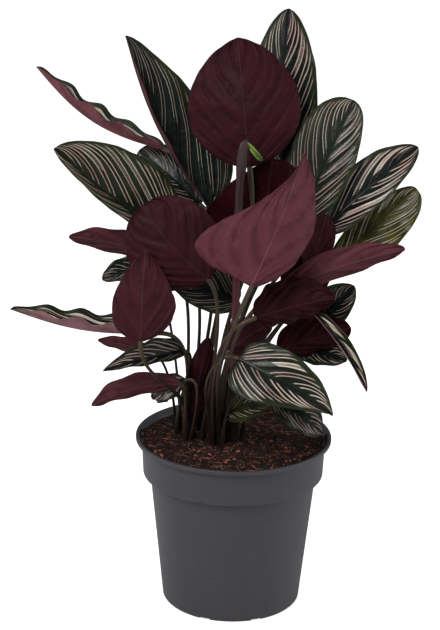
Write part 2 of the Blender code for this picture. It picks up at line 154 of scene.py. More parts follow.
def leaf(name, base, tip, faces, width, root, **shape):
    """Describe one leaf in millimetres and degrees.

    base, tip   where the blade meets its stalk, and where it ends
    faces       azimuth and elevation that the blade's upper side looks towards
    width       half width on its left and on its right, seen from the upper side with the tip up
    root        where the stalk leaves the potting mix
    fold, curl  how far each half rises from flat at the midrib, and how much more by the margin
    bow, sway   how far the midrib arches to the upper side and to the right, in blade lengths
    outline     powers that place the widest point of each half, towards the base and the tip
    ripple      height of the waves along the margin, and waves is their number
    lean, reach how long the stalk stays upright, and how long it runs in line with the blade
    tone        pale bars, broad cream patches and lime green of the upper side, from 0 to 1
    blush       how pale the underside is: 0 dark burgundy, 1 rose, 2 mauve; set leaf by leaf, it is partly painted light and shade, low for shaded inner leaves and high for lit ones
    flush       how magenta the stalk is, from 0 to 1
    pleat       height of the pleats between side veins, as a share of their spacing
    """
    entry = {"name": name, "base": base, "tip": tip, "faces": faces, "width": width, "root": root,
             "fold": (20, 20), "curl": (10, 10), "bow": 0.06, "sway": 0.0, "ripple": 1.5, "waves": 3,
             "outline": ((0.5, 0.62), (0.5, 0.62)), "lean": 0.45, "reach": 0.3,
             "stalk": STALK_RADIUS, "young": False, "tone": (0.6, 0.1, 0.0), "blush": 0.3, "flush": 0.0,
             "pleat": 0.06}
    entry.update(shape)
    return entry


LEAVES = [
    leaf("top_centre", base=(10, -25, 447), tip=(-3, 16, 560), faces=(90, 5), width=(54, 54),
         root=(-19, 12), fold=(4, 4), curl=(18, 18), bow=-0.12, outline=((0.5, 0.6), (0.5, 0.6)),
         lean=0.62, reach=0.5, stalk=2.5, blush=0.12, pleat=0.1),
    leaf("top_right", base=(44, 55, 412), tip=(45, 75, 575), faces=(-80, 20), width=(38, 36),
         root=(-17, 35), bow=0.05, sway=-0.04, tone=(0.95, 0.25, 0.0)),
    leaf("upper_left", base=(-29, 32, 390), tip=(-109, 58, 550), faces=(-60, 15), width=(30, 52),
         root=(-34, 29), fold=(66, 25), curl=(10, -10), bow=-0.03, sway=-0.05,
         outline=((0.5, 0.65), (0.34, 0.72)), tone=(0.3, 0.0, 0.0), blush=0.35),
    leaf("far_left_high", base=(-71, 60, 438), tip=(-196, 95, 509), faces=(90, 80), width=(19, 22),
         root=(-41, 36), fold=(38, 34), bow=-0.1, ripple=2.5, waves=4, lean=0.15, reach=0.35,
         tone=(0.85, 0.2, 0.0), blush=1.15),
    leaf("left_broad", base=(-62, 14, 365), tip=(-173, -5, 456), faces=(-95, 40), width=(32, 48),
         root=(-44, 30), fold=(48, 15), curl=(10, -5), bow=0.02, sway=-0.03,
         outline=((0.5, 0.6), (0.4, 0.6)), lean=0.15, reach=0.31, tone=(0.7, 0.3, 0.12)),
    leaf("left_back", base=(-36, 61, 384), tip=(-96, 88, 430), faces=(-80, 30), width=(28, 28),
         root=(-30, 38), fold=(15, 15), bow=0.05, tone=(0.5, 0.0, 0.0)),
    leaf("left_arching", base=(-27, -33, 339), tip=(-90, -31, 410), faces=(100, 15), width=(46, 48),
         root=(-31, 4), fold=(0, 0), curl=(25, 20), bow=-0.16, outline=((0.4, 0.4), (0.4, 0.4)),
         lean=0.15, reach=0.23, blush=0.16, pleat=0.16),
    leaf("left_inner", base=(2, 16, 300), tip=(-69, 14, 334), faces=(-80, 30), width=(26, 26),
         root=(-24, 22), fold=(15, 15), bow=0.05, lean=0.7, reach=0.08, tone=(0.45, 0.0, 0.0)),
    leaf("left_hanging", base=(-89, -64, 287), tip=(-85, -53, 373), faces=(85, 5), width=(36, 29),
         root=(-41, 8), fold=(30, 5), bow=-0.08, outline=((0.42, 0.8), (0.42, 0.8)), lean=0.44,
         reach=0.34, blush=0.26, pleat=0.1),
    leaf("left_narrow", base=(-69, 34, 338), tip=(-159, -4, 370), faces=(95, 15), width=(15, 15),
         root=(-47, 36), fold=(15, 15), bow=0.05, lean=0.44, reach=0.21, blush=0.7),
    leaf("left_long", base=(-72, -22, 281), tip=(-212, -41, 309), faces=(90, 80), width=(16, 26),
         root=(-48, 11), fold=(38, 36), curl=(0, 0), bow=-0.06, ripple=3, waves=4, lean=0.39, reach=0.32,
         tone=(1.0, 0.35, 0.0), blush=1.6),
    leaf("left_low", base=(-51, -4, 256), tip=(-124, -60, 256), faces=(-90, 40), width=(11, 17),
         root=(-56, 18), fold=(25, 25), bow=0.05, outline=((0.35, 0.8), (0.35, 0.8)), lean=0.5,
         reach=0.32, tone=(0.9, 0.3, 0.0), blush=0.6),
    leaf("left_lowest", base=(-52, -15, 227), tip=(-135, -52, 218), faces=(85, 15), width=(15, 14),
         root=(-47, 0), fold=(15, 15), curl=(15, 15), bow=0.1, lean=0.33, reach=0.14, blush=0.6),
    leaf("front_centre", base=(13, -95, 354), tip=(59, -39, 465), faces=(95, 15), width=(39, 64),
         root=(-14, -8), fold=(5, 5), curl=(20, 20), bow=-0.06, outline=((0.7, 0.75), (0.3, 2)),
         lean=0.34, reach=0.46, blush=0.66, pleat=0.09),
    leaf("centre_back", base=(20, -9, 350), tip=(31, -19, 454), faces=(90, 0), width=(38, 58),
         root=(-13, 12), fold=(10, 10), bow=-0.05, outline=((0.5, 0.4), (0.35, 0.85)), lean=0.67,
         reach=0.5, blush=0),
    leaf("right_tall", base=(59, 2, 386), tip=(108, 34, 497), faces=(-75, 25), width=(42, 27),
         root=(-10, 23), curl=(0, 0), bow=0.05, sway=-0.02, outline=((0.6, 0.5), (0.4, 0.5)), ripple=3,
         waves=2, lean=0.64, reach=0.08, tone=(0.65, 0.1, 0.1)),
    leaf("right_outer", base=(78, 7, 374), tip=(170, 41, 451), faces=(-90, 40), width=(26, 24),
         root=(-6, 16), curl=(0, 0), lean=0.48, reach=0.42, tone=(1.0, 0.5, 0.0), blush=0.5),
    leaf("right_lime", base=(97, 22, 338), tip=(169, 24, 415), faces=(-80, 35), width=(20, 29),
         root=(3, 13), fold=(20, 18), curl=(5, 5), bow=0.08, outline=((0.38, 0.5), (0.5, 0.45)),
         ripple=2.2, lean=0.46, reach=0.21, tone=(0.6, 0.1, 0.8), blush=0.5),
    leaf("right_long", base=(45, -41, 335), tip=(157, -27, 371), faces=(95, 15), width=(20, 18),
         root=(-10, -3), bow=0.04, lean=0.18, reach=0.4, blush=0.6, pleat=0.1),
    leaf("right_shaded", base=(17, -62, 312), tip=(92, -49, 329), faces=(90, 10), width=(24, 28),
         root=(-16, -1), bow=0.04, ripple=3, waves=4, lean=0.29, reach=0.34, blush=0.08, pleat=0.14),
    leaf("right_small", base=(73, 12, 278), tip=(113, 12, 320), faces=(-90, 30), width=(21, 21),
         root=(2, 21), bow=0.04, tone=(0.5, 0.0, 0.0)),
    leaf("right_dark", base=(41, -4, 258), tip=(109, -17, 288), faces=(95, 10), width=(26, 24),
         root=(-3, 10), bow=0.04, ripple=3, lean=0.7, reach=0.11, blush=0.05, pleat=0.14),
    leaf("front_right", base=(2, -78, 278), tip=(91, -95, 229), faces=(-85, 30), width=(29, 32),
         root=(-20, -8), fold=(16, 16), curl=(-15, -15), bow=0.1, outline=((0.4, 0.75), (0.32, 1.25)),
         lean=0.27, reach=0.26, tone=(1.0, 0.15, 0.05)),
    leaf("rolled_shoot", base=(7, -47, 477), tip=(21, -34, 457), faces=(-90, 10), width=(4.5, 4.5),
         root=(0, 1), fold=(50, 50), curl=(20, 20), bow=0.1, ripple=0, lean=0.37, reach=0.06, young=True,
         stalk=4.6, tone=(0.0, 0.0, 1.0), blush=0, flush=0.9),
    leaf("left_small", base=(-83, 19, 334), tip=(-128, 4, 325), faces=(-90, 45), width=(14, 14),
         root=(-52, 26), bow=0.08, lean=0.32, reach=0.1, young=True, stalk=YOUNG_STALK_RADIUS,
         tone=(0.5, 0.0, 0.0)),
    leaf("left_slim", base=(-80, 11, 250), tip=(-133, 19, 258), faces=(90, 5), width=(8, 9),
         root=(-57, 29), fold=(15, 15), bow=0.05, lean=0.36, reach=0.19, young=True,
         stalk=YOUNG_STALK_RADIUS, tone=(0.5, 0.0, 0.0), blush=0.9),
    leaf("left_ragged", base=(-47, -5, 227), tip=(-80, 25, 197), faces=(-90, 30), width=(12, 14),
         root=(-42, 2), fold=(10, 10), bow=0.05, ripple=2.5, lean=0.15, reach=0.5, young=True,
         stalk=YOUNG_STALK_RADIUS, tone=(1.0, 0.5, 0.0), pleat=0.16),
    leaf("inner_upright", base=(-43, 15, 168), tip=(-26, -13, 274), faces=(90, 0), width=(14, 14),
         root=(-37, 18), bow=0.02, young=True, stalk=YOUNG_STALK_RADIUS, tone=(0.4, 0.0, 0.0), blush=0.1),
    leaf("right_drooping", base=(71, -30, 309), tip=(124, -60, 240), faces=(-60, 30), width=(11, 11),
         root=(10, -5), fold=(45, 45), curl=(20, 20), bow=0.08, ripple=0.5, lean=0.51, reach=0.5,
         young=True, stalk=YOUNG_STALK_RADIUS, tone=(1.0, 0.9, 0.0), blush=1.5),
    leaf("rim_right", base=(35, -46, 226), tip=(84, -54, 194), faces=(-90, 45), width=(18, 18),
         root=(-11, -14), fold=(10, 10), bow=0.1, lean=0.63, reach=0.42, young=True,
         stalk=YOUNG_STALK_RADIUS, tone=(0.6, 0.2, 0.0)),
    leaf("crown_front", base=(-6, -8, 196), tip=(37, -42, 221), faces=(-90, 40), width=(17, 17),
         root=(-25, 1), fold=(10, 10), bow=0.05, lean=0.7, reach=0.5, young=True,
         stalk=YOUNG_STALK_RADIUS, tone=(0.45, 0.0, 0.25), blush=0.2),
    leaf("centre_small", base=(-7, -29, 266), tip=(34, -21, 294), faces=(95, 10), width=(18, 18),
         root=(-22, -3), fold=(10, 10), bow=0.05, lean=0.38, reach=0.43, young=True,
         stalk=YOUNG_STALK_RADIUS, tone=(0.4, 0.0, 0.0), blush=0.1),
    leaf("right_inner", base=(71, -4, 341), tip=(83, -10, 398), faces=(90, 0), width=(16, 16),
         root=(-4, 26), fold=(10, 10), bow=0.05, young=True, stalk=YOUNG_STALK_RADIUS,
         tone=(0.4, 0.0, 0.0)),
    leaf("right_core", base=(57, 6, 305), tip=(80, 10, 366), faces=(90, 0), width=(25, 25), root=(-9, 29),
         fold=(10, 10), bow=0.05, lean=0.68, reach=0.08, young=True, stalk=YOUNG_STALK_RADIUS,
         tone=(0.4, 0.0, 0.0), blush=0),
    leaf("right_low", base=(61, 29, 250), tip=(107, -8, 251), faces=(-90, 40), width=(17, 16),
         root=(7, 5), fold=(10, 10), bow=0.05, lean=0.41, reach=0.19, young=True,
         stalk=YOUNG_STALK_RADIUS, tone=(0.8, 0.1, 0.0), blush=0.2),
]


# ---------------------------------------------------------------------------------------------
# Node trees


class Wire:
    """A value in a node tree, whose arithmetic adds the nodes that work it out."""

    def __init__(self, net, socket):
        self.net = net
        self.socket = socket

    def __add__(self, other):
        return self.net.combine("ADD", self, other)

    def __radd__(self, other):
        return self.net.combine("ADD", other, self)

    def __sub__(self, other):
        return self.net.combine("SUBTRACT", self, other)

    def __rsub__(self, other):
        return self.net.combine("SUBTRACT", other, self)

    def __mul__(self, other):
        return self.net.combine("MULTIPLY", self, other)

    def __rmul__(self, other):
        return self.net.combine("MULTIPLY", other, self)

    def __truediv__(self, other):
        return self.net.combine("DIVIDE", self, other)

    def __rtruediv__(self, other):
        return self.net.combine("DIVIDE", other, self)

    def __pow__(self, other):
        return self.net.math("POWER", self, other)


class Net:
    """A node tree that is built with short calls."""

    def __init__(self, tree):
        self.tree = tree

    def feed(self, socket, value):
        """Link a wire to a socket, or set the socket's own value."""
        if isinstance(value, Wire):
            self.tree.links.new(value.socket, socket)
        elif value is not None:
            socket.default_value = value

    def node(self, kind, inputs=None, output=0, **settings):
        """Add a node, set it up, feed its inputs by name or number, and return one output."""
        made = self.tree.nodes.new(kind)
        for name, value in settings.items():
            setattr(made, name, value)
        for key, value in (inputs or {}).items():
            self.feed(made.inputs[key], value)
        if not made.outputs:
            return made
        return Wire(self, made.outputs[output])

    def math(self, operation, *values):
        """Add a Math node."""
        return self.node("ShaderNodeMath", dict(enumerate(values)), operation=operation)

    def vector(self, operation, *values):
        """Add a Vector Math node, with its number output for dot products and lengths."""
        output = 1 if operation in ("DOT_PRODUCT", "LENGTH", "DISTANCE") else 0
        return self.node("ShaderNodeVectorMath", dict(enumerate(values)), output, operation=operation)

    def combine(self, operation, first, second):
        """Combine two values, each a number or a vector, with one arithmetic node."""
        is_vector = [isinstance(value, tuple) or isinstance(value, Wire) and
                     value.socket.type in ("VECTOR", "RGBA") for value in (first, second)]
        if not any(is_vector):
            return self.math(operation, first, second)
        if operation == "MULTIPLY" and not all(is_vector):
            vector, number = (first, second) if is_vector[0] else (second, first)
            return self.node("ShaderNodeVectorMath", {0: vector, "Scale": number}, operation="SCALE")
        return self.vector(operation, first, second)

    def split(self, vector):
        """Return the three numbers of a vector."""
        made = self.tree.nodes.new("ShaderNodeSeparateXYZ")
        self.feed(made.inputs[0], vector)
        return [Wire(self, output) for output in made.outputs]

    def join(self, x, y, z):
        """Return a vector of three numbers."""
        return self.node("ShaderNodeCombineXYZ", {0: x, 1: y, 2: z})

    def smooth(self, value, low, high, to_low=0.0, to_high=1.0):
        """Ease a value from one range to another, and hold it at the ends."""
        inputs = {"Value": value, "From Min": low, "From Max": high, "To Min": to_low, "To Max": to_high}
        return self.node("ShaderNodeMapRange", inputs, interpolation_type="SMOOTHSTEP", clamp=True)

    def noise(self, vector, scale, detail=2.0, roughness=0.5, w=None):
        """Return a noise between 0 and 1."""
        inputs = {"Vector": vector, "Scale": scale, "Detail": detail, "Roughness": roughness}
        if w is None:
            return self.node("ShaderNodeTexNoise", inputs)
        inputs["W"] = w
        return self.node("ShaderNodeTexNoise", inputs, noise_dimensions="4D")

    def mix(self, amount, first, second):
        """Blend two colours, each a wire or a linear colour of three numbers."""
        made = self.tree.nodes.new("ShaderNodeMix")
        made.data_type = "RGBA"
        self.feed(made.inputs[0], amount)
        for socket, value in ((made.inputs[6], first), (made.inputs[7], second)):
            self.feed(socket, value if isinstance(value, Wire) else (*value, 1.0))
        return Wire(self, made.outputs[2])


def new_tree(name, kind, inputs, outputs):
    """Make a node group with named sockets, and return its net, its input wires and its output node."""
    tree = bpy.data.node_groups.new(name, kind)
    for label, socket_kind in inputs:
        tree.interface.new_socket(label, in_out="INPUT", socket_type="NodeSocket" + socket_kind)
    for label, socket_kind in outputs:
        tree.interface.new_socket(label, in_out="OUTPUT", socket_type="NodeSocket" + socket_kind)
    net = Net(tree)
    entry = tree.nodes.new("NodeGroupInput")
    given = {socket.name: Wire(net, socket) for socket in entry.outputs if socket.name}
    return net, given, tree.nodes.new("NodeGroupOutput")


def store(net, geometry, name, value, kind="FLOAT_VECTOR", domain="POINT"):
    """Store a named attribute on a geometry."""
    inputs = {"Geometry": geometry, "Name": name, "Value": value}
    return net.node("GeometryNodeStoreNamedAttribute", inputs, data_type=kind, domain=domain)


def random_value(net, low, high, seed):
    """Return a random number or vector for each element, between two limits."""
    made = net.tree.nodes.new("FunctionNodeRandomValue")
    is_vector = isinstance(low, tuple)
    made.data_type = "FLOAT_VECTOR" if is_vector else "FLOAT"
    first = 0 if is_vector else 2
    net.feed(made.inputs[first], low)
    net.feed(made.inputs[first + 1], high)
    net.feed(made.inputs["Seed"], seed)
    return Wire(net, made.outputs[0 if is_vector else 1])


def finish_tree(net, geometry, material, leaving):
    """End a tree: smooth shading, real geometry and its material."""
    smooth = net.node("GeometryNodeSetShadeSmooth", {"Geometry": geometry})
    solid = net.node("GeometryNodeRealizeInstances", {"Geometry": smooth})
    finished = net.node("GeometryNodeSetMaterial", {"Geometry": solid, "Material": material})
    net.feed(leaving.inputs[0], finished)


def grown(name, source, tree, values):
    """Run a geometry tree on an object's data and return the result as a plain mesh object."""
    holder = bpy.data.objects.new(name + "_source", source)
    bpy.context.collection.objects.link(holder)
    modifier = holder.modifiers.new("tree", "NODES")
    modifier.node_group = tree
    for item in tree.interface.items_tree:
        if item.in_out == "INPUT" and item.name in values:
            modifier[item.identifier] = values[item.name]
    bpy.context.view_layer.update()
    evaluated = holder.evaluated_get(bpy.context.evaluated_depsgraph_get())
    mesh = bpy.data.meshes.new_from_object(evaluated)
    mesh.name = name
    holder.modifiers.remove(modifier)
    bpy.data.objects.remove(holder, do_unlink=True)
    piece = bpy.data.objects.new(name, mesh)
    bpy.context.collection.objects.link(piece)
    return piece


def blade_tree():
    """Make the tree that lays out a blade: a grid bent along its midrib, folded and pleated."""
    halves = [(label + side, "Float") for label in ("Width", "Fold", "Curl", "Base Power", "Tip Power")
              for side in (" Left", " Right")]
    inputs = [("Rows", "Int"), ("Columns", "Int"), ("Base", "Vector"), ("Chord", "Vector"),
              ("Upper", "Vector"), ("Right", "Vector"), ("Length", "Float"), ("Bow", "Float"),
              ("Sway", "Float"), ("Ripple", "Float"), ("Waves", "Float"), ("Vein Spacing", "Float"),
              ("Vein Rise", "Float"), ("Pleat Height", "Float"), ("Unevenness", "Float"),
              ("Raggedness", "Float"), ("Narrowest", "Float"),
              ("Seed", "Float"), ("Tone", "Vector"), ("Blush", "Float"), ("Material", "Material")] + halves
    net, given, leaving = new_tree("Leaf blade", "GeometryNodeTree", inputs, [("Geometry", "Geometry")])
    size = {"Size X": 2.0, "Size Y": 1.0, "Vertices X": given["Columns"], "Vertices Y": given["Rows"]}
    grid = net.node("GeometryNodeMeshGrid", size)
    grid_uv = Wire(net, grid.socket.node.outputs["UV Map"])
    side, height, _ = net.split(net.node("GeometryNodeInputPosition"))
    t = net.math("MINIMUM", net.math("MAXIMUM", height + 0.5, 0.0), 1.0)
    out = net.math("ABSOLUTE", side)
    is_right = net.math("GREATER_THAN", side, 0.0)

    def half(label):
        left = given[label + " Left"]
        return left + (given[label + " Right"] - left) * is_right

    turn = t * math.pi
    bulge = net.math("MAXIMUM", net.math("SINE", turn), 0.0)
    bend = given["Upper"] * given["Bow"] + given["Right"] * given["Sway"]
    centre = given["Base"] + given["Chord"] * t + bend * (bulge * given["Length"])
    slope = net.math("COSINE", turn) * math.pi * given["Length"]
    forward = net.vector("NORMALIZE", given["Chord"] + bend * slope)
    level = forward * net.vector("DOT_PRODUCT", forward, given["Upper"])
    up = net.vector("NORMALIZE", given["Upper"] - level)
    right = net.vector("CROSS_PRODUCT", forward, up)

    base_power, tip_power = half("Base Power"), half("Tip Power")
    widest = base_power / (base_power + tip_power)
    peak = widest ** base_power * (1.0 - widest) ** tip_power
    outline = t ** base_power * (1.0 - t) ** tip_power / peak
    notches = net.noise(net.join(t * 5.0, is_right * 3.0, given["Seed"]), 1.0, 2.0) - 0.5
    outline = outline * (1.0 + notches * given["Raggedness"])
    width = net.math("MAXIMUM", half("Width") * outline, given["Narrowest"])

    fold, curl = half("Fold"), half("Curl")
    rolled = fold + curl * out
    across = (net.math("SINE", rolled) - net.math("SINE", fold)) / curl
    rise = (net.math("COSINE", fold) - net.math("COSINE", rolled)) / curl
    swell = net.math("SQRT", bulge)
    wave = net.math("SINE", given["Waves"] * t * (2 * math.pi) + is_right * WAVE_SHIFT)
    wave = wave * swell * given["Ripple"] * out * out

    vein_rise = given["Vein Rise"]
    vein = t * given["Length"] - half("Width") * vein_rise * (out + out * out * VEIN_CURVE_SHARE)
    steep = half("Width") * vein_rise * (1.0 + out * (2.0 * VEIN_CURVE_SHARE)) / width
    stretch = net.math("MINIMUM", net.math("SQRT", 1.0 + steep * steep), STEEPEST_STRETCH)
    pleat = net.math("COSINE", vein * (2 * math.pi) / given["Vein Spacing"])
    pleat = pleat * given["Pleat Height"] * out * (1.0 - out * PLEAT_FADE) * PLEAT_FULLNESS
    patch = net.noise(centre + right * (side * width), PATCH_SCALE, 1.0, w=given["Seed"])
    uneven = (patch - 0.5) * given["Unevenness"] * out * swell

    lift = width * rise + wave + pleat + uneven
    place = centre + right * (net.math("SIGN", side) * width * across) + up * lift
    shaped = store(net, grid, "blade", grid_uv, "FLOAT2", "CORNER")
    across_mm = net.join(width / MM, stretch / (given["Vein Spacing"] / MM), given["Seed"])
    shaped = store(net, shaped, "leaf_lie", net.join(vein / given["Vein Spacing"], side, t))
    shaped = store(net, shaped, "leaf_body", across_mm)
    shaped = store(net, shaped, "leaf_tone", given["Tone"])
    shaped = store(net, shaped, "leaf_blush", given["Blush"], "FLOAT")
    shaped = net.node("GeometryNodeSetPosition", {"Geometry": shaped, "Position": place})
    finish_tree(net, shaped, given["Material"], leaving)
    return net.tree


def stalk_tree():
    """Make the tree that grows a stalk: swollen at its foot, thin, and thicker at its joint."""
    inputs = [("Root", "Vector"), ("Upright", "Vector"), ("Inline", "Vector"), ("End", "Vector"),
              ("Rings", "Int"), ("Sides", "Int"), ("Radius", "Float"), ("Foot Swell", "Float"),
              ("Joint Swell", "Float"), ("Seed", "Float"), ("Blush", "Float"), ("Material", "Material")]
    net, given, leaving = new_tree("Leaf stalk", "GeometryNodeTree", inputs, [("Geometry", "Geometry")])
    line = net.node("GeometryNodeCurvePrimitiveBezierSegment",
                    {"Resolution": given["Rings"], "Start": given["Root"], "Start Handle": given["Upright"],
                     "End Handle": given["Inline"], "End": given["End"]})
    line = net.node("GeometryNodeResampleCurve", {"Curve": line, "Count": given["Rings"]})
    factor = net.node("GeometryNodeSplineParameter")
    foot = net.smooth(factor, 0.0, 0.45, 1.0, 0.0) * given["Foot Swell"]
    joint = net.smooth(factor, 0.86, 0.93) * given["Joint Swell"]
    radius = given["Radius"] * (0.80 + foot + joint)
    line = store(net, line, "stalk_radius", radius, "FLOAT")
    line = store(net, line, "stalk_lie", net.join(factor, given["Seed"], given["Blush"]))
    circle = net.node("GeometryNodeCurvePrimitiveCircle", {"Resolution": given["Sides"], "Radius": 1.0})
    circle = store(net, circle, "stalk_turn", factor, "FLOAT")
    kept = net.node("GeometryNodeInputNamedAttribute", {"Name": "stalk_radius"}, data_type="FLOAT")
    skin = net.node("GeometryNodeCurveToMesh",
                    {"Curve": line, "Profile Curve": circle, "Scale": kept, "Fill Caps": True})
    finish_tree(net, skin, given["Material"], leaving)
    return net.tree


def chip_tree():
    """Make the tree that strews chips of bark and crumbs over the potting mix."""
    inputs = [("Geometry", "Geometry"), ("Density", "Float"), ("Spacing", "Float"), ("Size", "Float"),
              ("Stretch", "Vector"), ("Smoothness", "Int"), ("Roughness", "Float"), ("Tilt", "Float"),
              ("Sink", "Float"), ("Seed", "Int"), ("Material", "Material")]
    net, given, leaving = new_tree("Strewn chips", "GeometryNodeTree", inputs, [("Geometry", "Geometry")])
    points = net.node("GeometryNodeDistributePointsOnFaces",
                      {"Mesh": given["Geometry"], "Distance Min": given["Spacing"],
                       "Density Max": given["Density"], "Seed": given["Seed"]},
                      distribute_method="POISSON")
    chip = net.node("GeometryNodeMeshIcoSphere", {"Radius": 0.5, "Subdivisions": given["Smoothness"]})
    chip = net.node("GeometryNodeTransform", {"Geometry": chip, "Scale": given["Stretch"]})

    turn = random_value(net, (-1.0, -1.0, -3.14), (1.0, 1.0, 3.14), given["Seed"] + 11.0)
    turn = turn * net.join(given["Tilt"], given["Tilt"], 1.0)
    scale = given["Size"] * random_value(net, 0.45, 1.0, given["Seed"] + 23.0)
    strewn = net.node("GeometryNodeInstanceOnPoints",
                      {"Points": points, "Instance": chip, "Rotation": turn, "Scale": scale})
    tone = random_value(net, 0.0, 1.0, given["Seed"] + 37.0)
    strewn = store(net, strewn, "chip_tone", tone, "FLOAT", "INSTANCE")
    real = net.node("GeometryNodeRealizeInstances", {"Geometry": strewn})
    place = net.node("GeometryNodeInputPosition")
    rough = net.node("ShaderNodeTexNoise", {"Vector": place, "Scale": 1.0 / (given["Size"] * 0.75),
                                            "Detail": 1.0}, output=1)
    shift = (rough - (0.5, 0.5, 0.5)) * (given["Size"] * given["Roughness"])
    shift = shift - net.join(0.0, 0.0, given["Sink"])
    real = net.node("GeometryNodeSetPosition", {"Geometry": real, "Offset": shift})
    finish_tree(net, real, given["Material"], leaving)
    return net.tree

def fibre_tree():
    """Make the tree that strews thin bent fibres over the potting mix."""
    inputs = [("Geometry", "Geometry"), ("Density", "Float"), ("Length", "Float"), ("Thickness", "Float"),
              ("Bend", "Float"), ("Seed", "Int"), ("Material", "Material")]
    net, given, leaving = new_tree("Strewn fibres", "GeometryNodeTree", inputs, [("Geometry", "Geometry")])
    points = net.node("GeometryNodeDistributePointsOnFaces",
                      {"Mesh": given["Geometry"], "Density": given["Density"], "Seed": given["Seed"]})
    half = given["Length"] * 0.5
    line = net.node("GeometryNodeCurvePrimitiveBezierSegment",
                    {"Resolution": 6, "Start": net.join(half * -1.0, 0.0, 0.0),
                     "Start Handle": net.join(half * -0.4, given["Bend"], 0.0),
                     "End Handle": net.join(half * 0.3, given["Bend"] * -0.6, given["Bend"]),
                     "End": net.join(half, 0.0, 0.0)})
    ring = net.node("GeometryNodeCurvePrimitiveCircle", {"Resolution": 4, "Radius": given["Thickness"]})
    strand = net.node("GeometryNodeCurveToMesh", {"Curve": line, "Profile Curve": ring, "Fill Caps": True})
    turn = random_value(net, (-0.35, -0.35, -3.14), (0.35, 0.35, 3.14), given["Seed"] + 5.0)
    scale = random_value(net, 0.4, 1.2, given["Seed"] + 9.0)
    strewn = net.node("GeometryNodeInstanceOnPoints",
                      {"Points": points, "Instance": strand, "Rotation": turn, "Scale": scale})
    tone = random_value(net, 0.0, 1.0, given["Seed"] + 13.0)
    strewn = store(net, strewn, "chip_tone", tone, "FLOAT", "INSTANCE")
    finish_tree(net, strewn, given["Material"], leaving)
    return net.tree


def bed_tree():
    """Make the tree that roughens the top of the potting mix and sinks its edge at the back."""
    inputs = [("Geometry", "Geometry"), ("Coarse", "Float"), ("Fine", "Float"), ("Bank Radius", "Float"),
              ("Clear Radius", "Float"), ("Sink", "Float"), ("Top", "Float"), ("Material", "Material")]
    net, given, leaving = new_tree("Potting mix bed", "GeometryNodeTree", inputs, [("Geometry", "Geometry")])
    place = net.node("GeometryNodeInputPosition")
    x, y, z = net.split(place)
    radius = net.math("SQRT", x * x + y * y)
    on_top = net.smooth(z, given["Top"] - 0.004, given["Top"] - 0.003)
    inside = net.smooth(radius, given["Clear Radius"] - 0.004, given["Clear Radius"], 1.0, 0.0)
    coarse = (net.noise(place, 90.0, 2.0) - 0.5) * given["Coarse"]
    fine = (net.noise(place, 420.0, 3.0, 0.65) - 0.5) * given["Fine"]
    at_edge = net.smooth(radius, given["Bank Radius"], given["Clear Radius"])
    sunk = net.smooth(y, 0.0, 0.06) * at_edge * given["Sink"]
    lift = ((coarse + fine) * inside - sunk) * on_top
    shaped = net.node("GeometryNodeSetPosition",
                      {"Geometry": given["Geometry"], "Offset": net.join(0.0, 0.0, lift)})
    finish_tree(net, shaped, given["Material"], leaving)
    return net.tree


# ---------------------------------------------------------------------------------------------
# Materials


def tint(red, green, blue):
    """Return a linear colour from the 0 to 255 values that a colour picker shows."""
    return tuple(((value / 255 + 0.055) / 1.055) ** 2.4 for value in (red, green, blue))


DEEP_GREEN = tint(5, 12, 12)
LEAF_GREEN = tint(14, 27, 22)
BAR_PINK = tint(214, 176, 166)
BAR_CREAM = tint(226, 214, 196)
LIME = tint(76, 78, 8)
MARGIN_GREEN = tint(38, 48, 26)
FLOOR_GLOW = 0.85
BURGUNDY_DARK = tint(26, 2, 8)
BURGUNDY = tint(45, 6, 16)
ROSE = tint(116, 65, 73)
MAUVE = tint(176, 138, 140)
STALK_DARK = tint(24, 13, 12)
STALK_OLIVE = tint(56, 38, 28)
STALK_GREEN = tint(80, 68, 42)
STALK_MAGENTA = tint(104, 34, 46)
STALK_LILAC = tint(56, 33, 43)
PLASTIC = tint(64, 63, 69)
PLASTIC_WORN = tint(92, 88, 90)
SOIL_DUST = tint(96, 74, 60)
MIX_DARK = tint(14, 6, 5)
MIX_BROWN = tint(50, 27, 20)
BARK_DARK = tint(36, 16, 12)
BARK_RED = tint(120, 70, 54)
BARK_ORANGE = tint(196, 122, 92)
FIBRE_TAN = tint(140, 110, 86)


